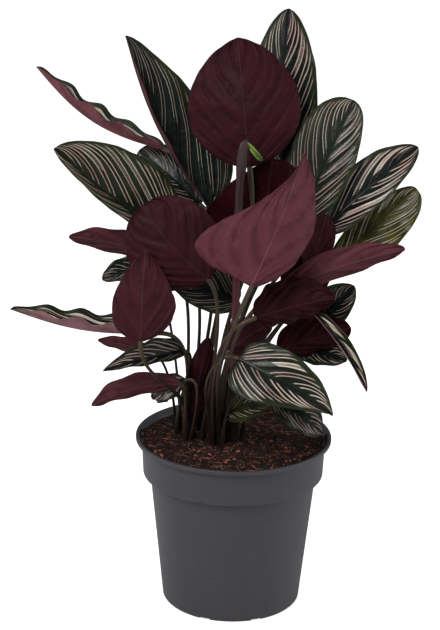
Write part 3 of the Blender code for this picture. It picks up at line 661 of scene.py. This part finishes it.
def stripe_group():
    """Make the group that draws pairs of pale bars between a leaf's side veins.

    Lie holds the place counted in veins, the place across from -1 to 1, and the place along from 0 to 1.
    Body holds the half width in mm, the veins per mm across them, and the leaf's seed.
    """
    inputs = [("Lie", "Vector"), ("Body", "Vector"), ("Strength", "Float"), ("Offset", "Float"),
              ("Half Width", "Float")]
    outputs = [("Bars", "Float"), ("Fill", "Float"), ("Veins", "Float"), ("Midrib", "Float"),
               ("Margin", "Float"), ("Chance", "Vector")]
    net, given, leaving = new_tree("Pinstripes", "ShaderNodeTree", inputs, outputs)
    vein, side, t = net.split(given["Lie"])
    width, scale, seed = net.split(given["Body"])
    out = net.math("ABSOLUTE", side)
    distance = out * width
    waver = net.noise(net.join(vein * 0.45, side * 1.8, seed), 1.0, 1.0)
    cell = vein + (waver - 0.5) * 0.5 + seed
    number = net.math("FLOOR", cell)
    spot = net.join(number, net.math("SIGN", side), seed)
    chance = net.node("ShaderNodeTexWhiteNoise", {"Vector": spot}, output=1)
    first, second, third = net.split(chance)
    near = net.math("ABSOLUTE", cell - number - 0.5)
    offset = net.math("MINIMUM", given["Offset"] * scale, 0.24)
    thick = given["Half Width"] * scale * (0.75 + third * 0.5) * (0.5 + given["Strength"] * 0.5)
    thick = net.math("MINIMUM", thick, 0.16)
    bar = net.smooth(net.math("ABSOLUTE", near - offset), thick * 0.6, thick * 1.25, 1.0, 0.0)
    start = 1.6 + first * first * width * 0.36
    begin = net.smooth(distance, start - 0.5, start + 0.5)
    margin = net.math("MINIMUM", 2.4 + second * 4.0, width * 0.34)
    end = net.smooth(width - distance, margin - 0.8, margin + 0.8)
    ends = begin * end * net.smooth(t, 0.02, 0.07)
    results = {"Bars": bar * ends * (0.72 + first * 0.28),
               "Fill": net.smooth(near, offset * 0.9, offset + thick, 1.0, 0.0) * ends,
               "Veins": net.math("COSINE", cell * math.pi) * 0.5 + 0.5,
               "Midrib": net.smooth(distance, 0.3, 1.0, 1.0, 0.0),
               "Margin": net.smooth(out, 0.55, 1.0),
               "Chance": chance}
    for name, value in results.items():
        net.feed(leaving.inputs[name], value)
    return net.tree


def new_material(name, **constants):
    """Make a material, set constants on its Principled shader, and return it, its net and the shader."""
    material = bpy.data.materials.new(name)
    material.use_nodes = True
    shader = material.node_tree.nodes["Principled BSDF"]
    for label, value in constants.items():
        shader.inputs[label.replace("_", " ").title().replace("Ior", "IOR")].default_value = value
    return material, Net(material.node_tree), shader


def attribute(net, name, number=False):
    """Read a named attribute as a vector, or as one number."""
    return net.node("ShaderNodeAttribute", output=2 if number else 1, attribute_name=name)


def object_place(net):
    """Return the place in the object's own coordinates, in metres."""
    return net.node("ShaderNodeTexCoord", output=3)


def use_group(net, group, inputs):
    """Add a shader group and return its outputs by name."""
    made = net.tree.nodes.new("ShaderNodeGroup")
    made.node_tree = group
    for name, value in inputs.items():
        net.feed(made.inputs[name], value)
    return {socket.name: Wire(net, socket) for socket in made.outputs}


def finish_material(net, shader, colour, roughness, height, distance):
    """Connect a colour, a roughness and a height to the shader."""
    net.feed(shader.inputs["Base Color"], colour)
    net.feed(shader.inputs["Roughness"], roughness)
    bump = net.node("ShaderNodeBump", {"Height": height, "Distance": distance, "Strength": 1.0})
    net.feed(shader.inputs["Normal"], bump)


def stripes_of(net, group):
    """Draw the pinstripes from a blade's attributes, and return them and the blade's tone."""
    tone = attribute(net, "leaf_tone")
    strength, patch, lime = net.split(tone)
    drawn = use_group(net, group, {"Lie": attribute(net, "leaf_lie"), "Body": attribute(net, "leaf_body"),
                                   "Strength": strength, "Offset": patch * 0.8 + BAR_OFFSET_MM,
                                   "Half Width": patch * 0.35 + BAR_HALF_MM})
    return drawn, strength, patch, lime


def striped_face(group):
    """Make the upper side of a leaf: glossy dark green with pairs of pale pinstripes."""
    material, net, shader = new_material("striped_face", specular_ior_level=0.18, coat_roughness=0.14,
                                         coat_weight=0.16)
    drawn, strength, patch, lime = stripes_of(net, group)
    place = object_place(net)
    mottle = net.noise(place, 55.0, 3.0, 0.6)
    speckle = net.noise(place, 900.0, 2.0)
    green = net.mix(net.smooth(mottle, 0.3, 0.7), DEEP_GREEN, LEAF_GREEN)
    green = net.mix(drawn["Margin"] * 0.8, green, MARGIN_GREEN)
    lime_green = net.mix(net.smooth(mottle, 0.35, 0.65), LIME, tuple(value * 0.42 for value in LIME))
    green = net.mix(lime, green, lime_green)
    chance, _, _ = net.split(drawn["Chance"])
    pale = net.mix(net.smooth(mottle + chance * 0.3, 0.45, 0.85), BAR_PINK, BAR_CREAM)
    colour = net.mix(drawn["Bars"] * (0.45 + strength * 0.55), green, pale)
    broad = net.smooth(chance + patch, 0.98, 1.25) * drawn["Fill"]
    colour = net.mix(broad * (0.55 + speckle * 0.4), colour, pale)
    roughness = 0.30 + mottle * 0.16 + drawn["Bars"] * 0.06
    blister = net.noise(place, 240.0, 2.0, 0.6)
    height = drawn["Veins"] * -0.6 + speckle * 0.08 + blister * 1.6 + drawn["Midrib"] * -0.8
    finish_material(net, shader, colour, roughness, height, 0.0005)
    return material


def burgundy_underside(group):
    """Make the underside of a leaf: burgundy satin with fine pleats, painted shade in the pleat valleys, a
    paler midrib, and rose and mauve tones that are partly painted light.
    """
    material, net, shader = new_material("burgundy_underside", specular_ior_level=0.06)
    drawn, _, _, _ = stripes_of(net, group)
    blush = attribute(net, "leaf_blush", number=True)
    place = object_place(net)
    mottle = net.noise(place, 38.0, 3.0, 0.6)
    speckle = net.noise(place, 1100.0, 2.0)
    crease = net.noise(place, 75.0, 2.0, 0.6)
    colour = net.mix(net.smooth(mottle, 0.3, 0.7), BURGUNDY_DARK, BURGUNDY)
    # Partly painted light and shade: the blush amount, set leaf by leaf, keeps shaded leaves dark burgundy,
    # pales lit leaves to rose or mauve, and shows the paler midrib more on lit leaves.
    colour = net.mix(net.math("MINIMUM", blush, 1.0), colour, ROSE)
    colour = net.mix(net.smooth(blush, 1.0, 2.0) * (0.35 + mottle * 0.9), colour, MAUVE)
    # Painted shade: the pleat valleys are darkened with dark burgundy where shade falls between the pleats;
    # the same mask also sets how deep the pleats' bump is.
    pleat_shade_and_depth = net.smooth(crease, 0.30, 0.62)
    colour = net.mix(drawn["Veins"] * pleat_shade_and_depth * 0.34, colour, BURGUNDY_DARK)
    colour = net.mix(drawn["Midrib"] * (0.03 + blush * 0.16), colour, MAUVE)
    roughness = 0.44 + mottle * 0.14
    height = drawn["Veins"] * pleat_shade_and_depth * -1.9 + speckle * 0.08 + drawn["Midrib"] + crease * 2.4
    finish_material(net, shader, colour, roughness, height, 0.0008)
    return material


def stalk_skin():
    """Make the skin of a stalk: dark and brown at its foot, olive above, streaked along its length."""
    material, net, shader = new_material("stalk_skin", specular_ior_level=0.45)
    factor, seed, blush = net.split(attribute(net, "stalk_lie"))
    turn = attribute(net, "stalk_turn", number=True)
    angle = turn * (2 * math.pi)
    around = net.join(net.math("SINE", angle), net.math("COSINE", angle), factor * 1.5 + seed)
    streak = net.noise(around, 2.6, 3.0, 0.6)
    mottle = net.noise(object_place(net), 220.0, 2.0)
    colour = net.mix(net.smooth(factor + mottle * 0.2, 0.10, 0.55), STALK_DARK, STALK_OLIVE)
    colour = net.mix(net.smooth(factor, 0.5, 0.95) * 0.6, colour, STALK_GREEN)
    colour = net.mix(net.smooth(streak, 0.42, 0.68) * 0.55, colour, STALK_DARK)
    flushed = net.mix(net.smooth(factor, 0.50, 0.75), STALK_MAGENTA, STALK_LILAC)
    flushed = net.mix(net.smooth(factor, 0.16, 0.34, 1.0, 0.0), flushed, STALK_DARK)
    flushed = net.mix(net.smooth(streak, 0.4, 0.7) * 0.55, flushed, STALK_DARK)
    colour = net.mix(blush, colour, flushed)
    roughness = 0.34 + mottle * 0.2
    finish_material(net, shader, colour, roughness, streak + mottle * 0.3, 0.0005)
    return material


def shoot_skin():
    """Make the skin of the rolled young leaf: lime green, paler along its roll."""
    material, net, shader = new_material("shoot_skin", specular_ior_level=0.5, coat_roughness=0.2,
                                         coat_weight=0.15)
    lie = attribute(net, "leaf_lie")
    _, side, t = net.split(lie)
    place = object_place(net)
    mottle = net.noise(place, 160.0, 3.0)
    pleat = net.math("SINE", side * 9.0 + t * 22.0) * 0.5 + 0.5
    colour = net.mix(net.smooth(t + mottle * 0.4, 0.25, 0.95), tint(142, 178, 66), tint(78, 120, 36))
    colour = net.mix(pleat * 0.35, colour, tint(196, 214, 132))
    finish_material(net, shader, colour, 0.36 + mottle * 0.15, pleat + mottle * 0.4, 0.0004)
    return material


def pot_plastic():
    """Make the pot's moulded plastic: satin grey with fine grain, flow marks, scuffs and some dust."""
    material, net, shader = new_material("pot_plastic", specular_ior_level=0.42)
    place = object_place(net)
    x, y, z = net.split(place)
    flow = net.noise(net.join(x, y, z * 0.12), 34.0, 3.0, 0.55)
    grain = net.noise(place, 1500.0, 2.0, 0.6)
    scuffs = net.noise(net.join(x * 0.5, y * 0.5, z * 5.0), 70.0, 4.0, 0.7)
    scuffed = net.smooth(scuffs, 0.60, 0.74)
    dirt = net.noise(place, 46.0, 5.0, 0.72)
    low = net.smooth(z, 0.0, 0.030, 1.0, 0.0)
    high = net.smooth(z, POT_HEIGHT - 0.012, POT_HEIGHT)
    dusty = net.smooth(dirt + (low + high) * 0.10, 0.60, 0.80)
    colour = net.mix(net.smooth(flow, 0.3, 0.7) * 0.35, PLASTIC, tuple(value * 0.8 for value in PLASTIC))
    colour = net.mix(scuffed * 0.45, colour, PLASTIC_WORN)
    colour = net.mix(dusty * 0.45, colour, SOIL_DUST)
    roughness = 0.40 + flow * 0.12 + dusty * 0.22 + scuffed * 0.08
    finish_material(net, shader, colour, roughness, grain + scuffed * 0.6 + flow * 0.5, 0.00012)
    return material


def mix_bed():
    """Make the fine part of the potting mix: moist, dark and crumbly."""
    material, net, shader = new_material("mix_bed", specular_ior_level=0.25)
    place = object_place(net)
    coarse = net.noise(place, 160.0, 5.0, 0.7)
    fine = net.noise(place, 900.0, 3.0, 0.7)
    colour = net.mix(net.smooth(coarse + (fine - 0.5) * 0.5, 0.35, 0.75), MIX_DARK, MIX_BROWN)
    finish_material(net, shader, colour, 0.82 + fine * 0.12, coarse + fine * 0.6, 0.0025)
    return material


def bark_chip():
    """Make the chips of bark: from nearly black to red brown, and a few bright orange."""
    material, net, shader = new_material("bark_chip", specular_ior_level=0.3)
    chance = attribute(net, "chip_tone", number=True)
    place = object_place(net)
    x, y, z = net.split(place)
    grain = net.noise(net.join(x, y * 4.0, z * 4.0), 240.0, 3.0, 0.65)
    pits = net.noise(place, 700.0, 2.0, 0.6)
    colour = net.mix(net.smooth(chance + (grain - 0.5) * 0.3, 0.35, 0.95), BARK_DARK, BARK_RED)
    colour = net.mix(net.smooth(chance, 0.90, 0.97) * 0.7, colour, BARK_ORANGE)
    colour = net.mix(net.smooth(grain, 0.45, 0.7) * 0.6, colour, MIX_DARK)
    finish_material(net, shader, colour, 0.62 + pits * 0.25, grain + pits * 0.5, 0.0012)
    return material


def coir_fibre():
    """Make the coir fibres: tan to brown."""
    material, net, shader = new_material("coir_fibre", specular_ior_level=0.3)
    chance = attribute(net, "chip_tone", number=True)
    rough = net.noise(object_place(net), 800.0, 2.0)
    colour = net.mix(net.smooth(chance + rough * 0.3, 0.2, 1.0), BARK_RED, FIBRE_TAN)
    finish_material(net, shader, colour, 0.7 + rough * 0.15, rough, 0.0004)
    return material


def studio_floor():
    """Make the plain pale floor, which looks white from the camera but lights the plant softly."""
    material, net, shader = new_material("studio_floor", specular_ior_level=0.2)
    cloud = net.noise(object_place(net), 3.0, 2.0)
    colour = net.mix(cloud, (0.80, 0.80, 0.80), (0.82, 0.82, 0.82))
    seen = net.node("ShaderNodeLightPath")
    net.feed(shader.inputs["Emission Color"], (1.0, 1.0, 1.0, 1.0))
    net.feed(shader.inputs["Emission Strength"], seen * FLOOR_GLOW)
    finish_material(net, shader, colour, 0.7 + cloud * 0.1, cloud, 0.0002)
    return material

# ---------------------------------------------------------------------------------------------
# Pieces


def direction(azimuth, elevation):
    """Return the unit vector that looks towards an azimuth and an elevation, in degrees."""
    turn, lift = math.radians(azimuth), math.radians(elevation)
    return Vector((math.cos(turn) * math.cos(lift), math.sin(turn) * math.cos(lift), math.sin(lift)))


def leaf_axes(plan):
    """Return a blade's base, its chord, its upper direction and its right direction, in metres."""
    base, tip = Vector(plan["base"]) * MM, Vector(plan["tip"]) * MM
    chord = tip - base
    along = chord.normalized()
    face = direction(*plan["faces"])
    upper = (face - along * face.dot(along)).normalized()
    return base, chord, upper, along.cross(upper)


def add_piece(piece, slot, *nodes):
    """Let a finished piece ride on the body and stand for CAD nodes."""
    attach(piece, "root")
    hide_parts(*nodes)


def add_blade(plan, number, tree, faces, node, slot):
    """Add a leaf's blade, with its upper side and its underside in two materials."""
    base, chord, upper, right = leaf_axes(plan)
    mean_width = sum(plan["width"]) / 2 * MM
    vein_rise = VEIN_RISE_LEAST + VEIN_RISE_PER_SLENDERNESS * chord.length / mean_width
    spacing = (VEIN_GAP + VEIN_GAP_SHARE * chord.length) * math.hypot(1, vein_rise)
    values = {"Rows": BLADE_ROWS, "Columns": BLADE_COLUMNS, "Base": base, "Chord": chord, "Upper": upper,
              "Right": right, "Length": chord.length, "Bow": plan["bow"], "Sway": plan["sway"],
              "Ripple": plan["ripple"] * MM, "Waves": float(plan["waves"]),
              "Vein Spacing": spacing, "Vein Rise": vein_rise,
              "Pleat Height": spacing / math.hypot(1, vein_rise) * plan["pleat"],
              "Unevenness": UNEVENNESS, "Raggedness": RAGGEDNESS,
              "Narrowest": NARROWEST_HALF_WIDTH * MM, "Seed": number * SEED_STEP_BLADE,
              "Tone": plan["tone"], "Blush": plan["blush"], "Material": faces[0]}
    for half, side in enumerate((" Left", " Right")):
        values["Width" + side] = plan["width"][half] * MM
        values["Fold" + side] = math.radians(plan["fold"][half])
        values["Curl" + side] = math.radians(plan["curl"][half]) or FLATTEST_CURL
        values["Base Power" + side], values["Tip Power" + side] = plan["outline"][half]
    piece = grown("leaf_" + plan["name"], bpy.data.meshes.new("blank"), tree, values)
    piece.data.materials.append(faces[1])
    solid = piece.modifiers.new("thickness", "SOLIDIFY")
    solid.thickness = BLADE_THICKNESS
    solid.offset = 0.0
    solid.material_offset = 1
    solid.material_offset_rim = 1
    add_piece(piece, slot, node)


def add_stalk(plan, number, tree, skin, node, slot):
    """Add a leaf's stalk, from inside the potting mix to the blade."""
    base, chord, upper, right = leaf_axes(plan)
    bend = upper * plan["bow"] + right * plan["sway"]
    forward = (chord + bend * (math.pi * chord.length)).normalized()
    root = Vector((plan["root"][0], plan["root"][1], SOIL_LEVEL_MM)) * MM
    end = base + forward * STALK_OVERLAP
    span = (end - root).length
    values = {"Root": root - Vector((0, 0, ROOT_DEPTH)),
              "Upright": root + Vector((0, 0, plan["lean"] * span)),
              "Inline": end - forward * (plan["reach"] * span), "End": end,
              "Rings": STALK_RINGS, "Sides": STALK_SIDES, "Radius": plan["stalk"] * MM,
              "Foot Swell": FOOT_SWELL, "Joint Swell": JOINT_SWELL, "Seed": number * SEED_STEP_STALK,
              "Blush": plan["flush"], "Material": skin}
    piece = grown("stem_" + plan["name"], bpy.data.meshes.new("blank"), tree, values)
    add_piece(piece, slot, node)


def lathe(name, profile, sides, material):
    """Turn a profile of (radius, height) points, which starts and ends on the axis, into an object."""
    points = [(0.0, 0.0, profile[0][1])]
    for radius, height in profile[1:-1]:
        for side in range(sides):
            angle = 2 * math.pi * side / sides
            points.append((radius * math.cos(angle), radius * math.sin(angle), height))
    points.append((0.0, 0.0, profile[-1][1]))
    top = len(points) - 1
    faces = []
    for side in range(sides):
        ahead = (side + 1) % sides
        faces.append((0, 1 + ahead, 1 + side))
        for ring in range(len(profile) - 3):
            start = 1 + ring * sides
            faces.append((start + side, start + ahead, start + sides + ahead, start + sides + side))
        faces.append((top, top - sides + side, top - sides + ahead))
    mesh = bpy.data.meshes.new(name)
    mesh.from_pydata(points, [], faces)
    mesh.materials.append(material)
    item = bpy.data.objects.new(name, mesh)
    bpy.context.collection.objects.link(item)
    return item


def rounded(corners, radius, steps=4):
    """Round the inner corners of a profile with short arcs."""
    result = [corners[0]]
    for before, corner, after in zip(corners, corners[1:], corners[2:]):
        here = Vector(corner)
        back, ahead = Vector(before) - here, Vector(after) - here
        reach = min(radius, back.length * 0.45, ahead.length * 0.45)
        start, end = here + back.normalized() * reach, here + ahead.normalized() * reach
        for step in range(steps + 1):
            share = step / steps
            point = start * (1 - share) ** 2 + here * (2 * share * (1 - share)) + end * share ** 2
            result.append(tuple(point))
    return result + [corners[-1]]


def pot_profile():
    """Return the pot wall's outline: the underside, up the outside, and down the inside."""
    band_bottom = POT_HEIGHT - BAND_HEIGHT
    band_top_radius = RIM_RADIUS - LIP_OVERHANG
    band_bottom_radius = band_top_radius - BAND_TAPER
    body_top_radius = band_bottom_radius - STEP_INSET
    body_top = band_bottom - STEP_HEIGHT
    ring_inside = FOOT_RADIUS - FOOT_RING_WIDTH
    floor_top = FLOOR_RAISE + WALL
    return [(0, 0), (CENTRE_PAD_RADIUS - PAD_SLOPE, 0), (CENTRE_PAD_RADIUS + PAD_SLOPE, FLOOR_RAISE),
            (ring_inside - PAD_SLOPE, FLOOR_RAISE), (ring_inside + PAD_SLOPE, 0),
            (FOOT_RADIUS - FOOT_EDGE, 0), (FOOT_RADIUS, FOOT_EDGE),
            (body_top_radius, body_top), (band_bottom_radius, band_bottom),
            (band_top_radius, POT_HEIGHT - LIP_HEIGHT), (RIM_RADIUS, POT_HEIGHT - LIP_HEIGHT),
            (RIM_RADIUS, POT_HEIGHT), (RIM_RADIUS - LIP_EDGE, POT_HEIGHT),
            (band_top_radius - WALL, POT_HEIGHT - FLARE_DROP),
            (band_bottom_radius - WALL, band_bottom + WALL * 0.8),
            (body_top_radius - WALL, body_top + WALL * 0.8), (FOOT_RADIUS - WALL * 1.6, floor_top),
            (CENTRE_PAD_RADIUS - WALL * 0.3, floor_top), (CENTRE_PAD_RADIUS - WALL * 1.3, WALL), (0, WALL)]


def drain_cutter():
    """Make the shapes that cut the drain holes and the notches in the foot ring."""
    cutter = bmesh.new()
    for hole in range(DRAIN_HOLES):
        turn = Matrix.Rotation(2 * math.pi * (hole + 0.5) / DRAIN_HOLES, 4, "Z")
        at_hole = turn @ Matrix.Translation((DRAIN_CIRCLE, 0, FLOOR_RAISE))
        bmesh.ops.create_cone(cutter, cap_ends=True, segments=DRAIN_SIDES, radius1=DRAIN_RADIUS,
                              radius2=DRAIN_RADIUS, depth=4 * WALL, matrix=at_hole)
        at_notch = turn @ Matrix.Translation((FOOT_RADIUS - NOTCH_SIZE[0] / 4, 0, 0))
        bmesh.ops.create_cube(cutter, size=1.0, matrix=at_notch @ Matrix.Diagonal((*NOTCH_SIZE, 1)))
    mesh = bpy.data.meshes.new("drain_cutter")
    cutter.to_mesh(mesh)
    cutter.free()
    item = bpy.data.objects.new("drain_cutter", mesh)
    bpy.context.collection.objects.link(item)
    return item


def add_pot():
    """Add the pot, with rounded edges, drain holes and notches in its foot ring."""
    shell = lathe("pot_shell", rounded(pot_profile(), EDGE_ROUND), POT_SIDES, pot_plastic())
    cutter = drain_cutter()
    cut = shell.modifiers.new("drainage", "BOOLEAN")
    cut.solver = "EXACT"
    cut.object = cutter
    bpy.context.view_layer.update()
    evaluated = shell.evaluated_get(bpy.context.evaluated_depsgraph_get())
    mesh = bpy.data.meshes.new_from_object(evaluated)
    shell.modifiers.remove(cut)
    shell.data = mesh
    bpy.data.objects.remove(cutter, do_unlink=True)
    mesh.shade_smooth()
    mesh.set_sharp_from_angle(angle=SHARP_ANGLE)
    add_piece(shell, "pot_plastic", "nursery_pot")


def soil_profile():
    """Return the potting mix's outline: its underside, its side, and its top in close rings."""
    band_bottom = POT_HEIGHT - BAND_HEIGHT
    band_radius = RIM_RADIUS - LIP_OVERHANG - BAND_TAPER - WALL - MIX_CLEARANCE
    body_radius = band_radius - STEP_INSET
    floor = FLOOR_RAISE + WALL + MIX_CLEARANCE
    inner_radius = RIM_RADIUS - LIP_OVERHANG - WALL - MIX_CLEARANCE
    flare_bottom = POT_HEIGHT - FLARE_DROP
    top = SOIL_LEVEL_MM * MM
    profile = [(0, floor), (FOOT_RADIUS - WALL * 2.2, floor), (body_radius, band_bottom - STEP_HEIGHT),
               (band_radius, band_bottom + 2 * MM), (inner_radius, flare_bottom)]
    for ring in range(SOIL_RINGS):
        radius = BANK_EDGE * (SOIL_RINGS - ring) / SOIL_RINGS
        bank = max(radius - BANK_START, 0) / (BANK_EDGE - BANK_START)
        profile.append((radius, top + (POT_HEIGHT - MIX_UNDER_RIM - top) * bank ** BANK_STEEPNESS))
    return profile + [(0, top)]


def soil_top(bed, clear):
    """Copy the top of the mix's bed, up to a clear distance from the pot's wall."""
    shape = bmesh.new()
    shape.from_mesh(bed.data)
    lowest = SOIL_LEVEL_MM * MM - TOP_DEPTH
    hidden = []
    for face in shape.faces:
        centre = face.calc_center_median()
        is_side = face.normal.z < TOP_SLOPE_LEAST or centre.z < lowest
        if is_side or centre.xy.length > BANK_EDGE - clear:
            hidden.append(face)
    bmesh.ops.delete(shape, geom=hidden, context="FACES")
    mesh = bpy.data.meshes.new("soil_top")
    shape.to_mesh(mesh)
    shape.free()
    return mesh


def add_soil():
    """Add the potting mix: a rough bed, chips of bark, crumbs and fibres."""
    profile = lathe("bed_source", soil_profile(), SOIL_SIDES, mix_bed())
    bed_values = {"Coarse": BED_COARSE, "Fine": BED_FINE, "Bank Radius": BANK_START,
                  "Clear Radius": BANK_EDGE, "Sink": BANK_SINK, "Top": SOIL_LEVEL_MM * MM,
                  "Material": profile.data.materials[0]}
    bed = grown("mix_bed", profile.data, bed_tree(), bed_values)
    bpy.data.objects.remove(profile, do_unlink=True)
    add_piece(bed, "potting_mix", "potting_mix")
    bark, coir = bark_chip(), coir_fibre()
    chips = chip_tree()
    for name, size, spacing, density, stretch, smoothness, seed in STREWN:
        values = {"Density": density, "Spacing": spacing * MM, "Size": size * MM, "Stretch": stretch,
                  "Smoothness": smoothness, "Roughness": CHIP_ROUGHNESS, "Tilt": CHIP_TILT,
                  "Sink": CHIP_SINK * size * MM, "Seed": seed, "Material": bark}
        top = soil_top(bed, size * CHIP_REACH * MM)
        add_piece(grown(name, top, chips, values), "potting_mix", "potting_mix")
    values = {"Density": FIBRE_DENSITY, "Length": FIBRE_LENGTH, "Thickness": FIBRE_RADIUS,
              "Bend": FIBRE_BEND, "Seed": FIBRE_SEED, "Material": coir}
    fibres = grown("coir_fibres", soil_top(bed, FIBRE_CLEARANCE), fibre_tree(), values)
    add_piece(fibres, "potting_mix", "potting_mix")


def add_plant():
    """Add every leaf: its blade and its stalk."""
    group = stripe_group()
    skin = stalk_skin()
    shoot = shoot_skin()
    faces = (striped_face(group), burgundy_underside(group))
    blades, stalks = blade_tree(), stalk_tree()
    for number, plan in enumerate(LEAVES):
        sides = (shoot, shoot) if plan["name"] == "rolled_shoot" else faces
        if plan["young"]:
            node = "young_leaf_" + plan["name"]
            add_blade(plan, number, blades, sides, node, "young_leaf")
            add_stalk(plan, number, stalks, skin, node, "young_leaf")
        else:
            add_blade(plan, number, blades, sides, "blade_" + plan["name"], "leaf_blade")
            add_stalk(plan, number, stalks, skin, "stalk_" + plan["name"], "leaf_stalk")


def add_floor():
    """Add the plain floor, which isn't part of the object."""
    mesh = bpy.data.meshes.new("floor")
    corners = [(x * FLOOR_REACH, y * FLOOR_REACH, 0) for x, y in ((-1, -1), (1, -1), (1, 1), (-1, 1))]
    mesh.from_pydata(corners, [], [(0, 1, 2, 3)])
    mesh.materials.append(studio_floor())
    floor = bpy.data.objects.new("floor", mesh)
    bpy.context.collection.objects.link(floor)


def add_light(name, place, size, power):
    """Add a square soft light that looks at the middle of the plant."""
    data = bpy.data.lights.new(name, "AREA")
    data.size = size
    data.energy = power
    light = bpy.data.objects.new(name, data)
    light.location = place
    light.rotation_euler = (Vector(MIDDLE) - Vector(place)).to_track_quat("-Z", "Y").to_euler()
    bpy.context.collection.objects.link(light)


def add_lights():
    """Light the plant softly from above on the left, in a white room."""
    world = bpy.data.worlds.new("white_room")
    world.use_nodes = True
    world.node_tree.nodes["Background"].inputs["Color"].default_value = (1.0, 1.0, 1.0, 1.0)
    world.node_tree.nodes["Background"].inputs["Strength"].default_value = ROOM_GLOW
    bpy.context.scene.world = world
    for light in LIGHTS:
        add_light(*light)


def add_camera():
    """Look at the plant from slightly above, from the front."""
    data = bpy.data.cameras.new("camera")
    data.lens = CAMERA_LENS
    data.sensor_width = 36.0
    data.clip_end = 60.0
    camera = bpy.data.objects.new("camera", data)
    elevation = math.radians(CAMERA_ELEVATION)
    pitch, roll = math.radians(CAMERA_PITCH), math.radians(CAMERA_ROLL)
    back, height = CAMERA_DISTANCE * math.cos(elevation), CAMERA_DISTANCE * math.sin(elevation)
    place = Vector((CAMERA_SIDEWAYS, -back, CAMERA_AIM_HEIGHT + height))
    ahead = Vector((0, math.cos(pitch), math.sin(pitch)))
    right = Vector((1, 0, 0))
    up = right.cross(ahead)
    across = right * math.cos(roll) + up * math.sin(roll)
    above = up * math.cos(roll) - right * math.sin(roll)
    turn = Matrix((across, above, -ahead)).transposed()
    camera.matrix_world = Matrix.Translation(place) @ turn.to_4x4()
    bpy.context.collection.objects.link(camera)
    bpy.context.scene.camera = camera


add_pot()
add_soil()
add_plant()
add_floor()
add_lights()
add_camera()
bpy.context.scene.view_settings.view_transform = "Standard"
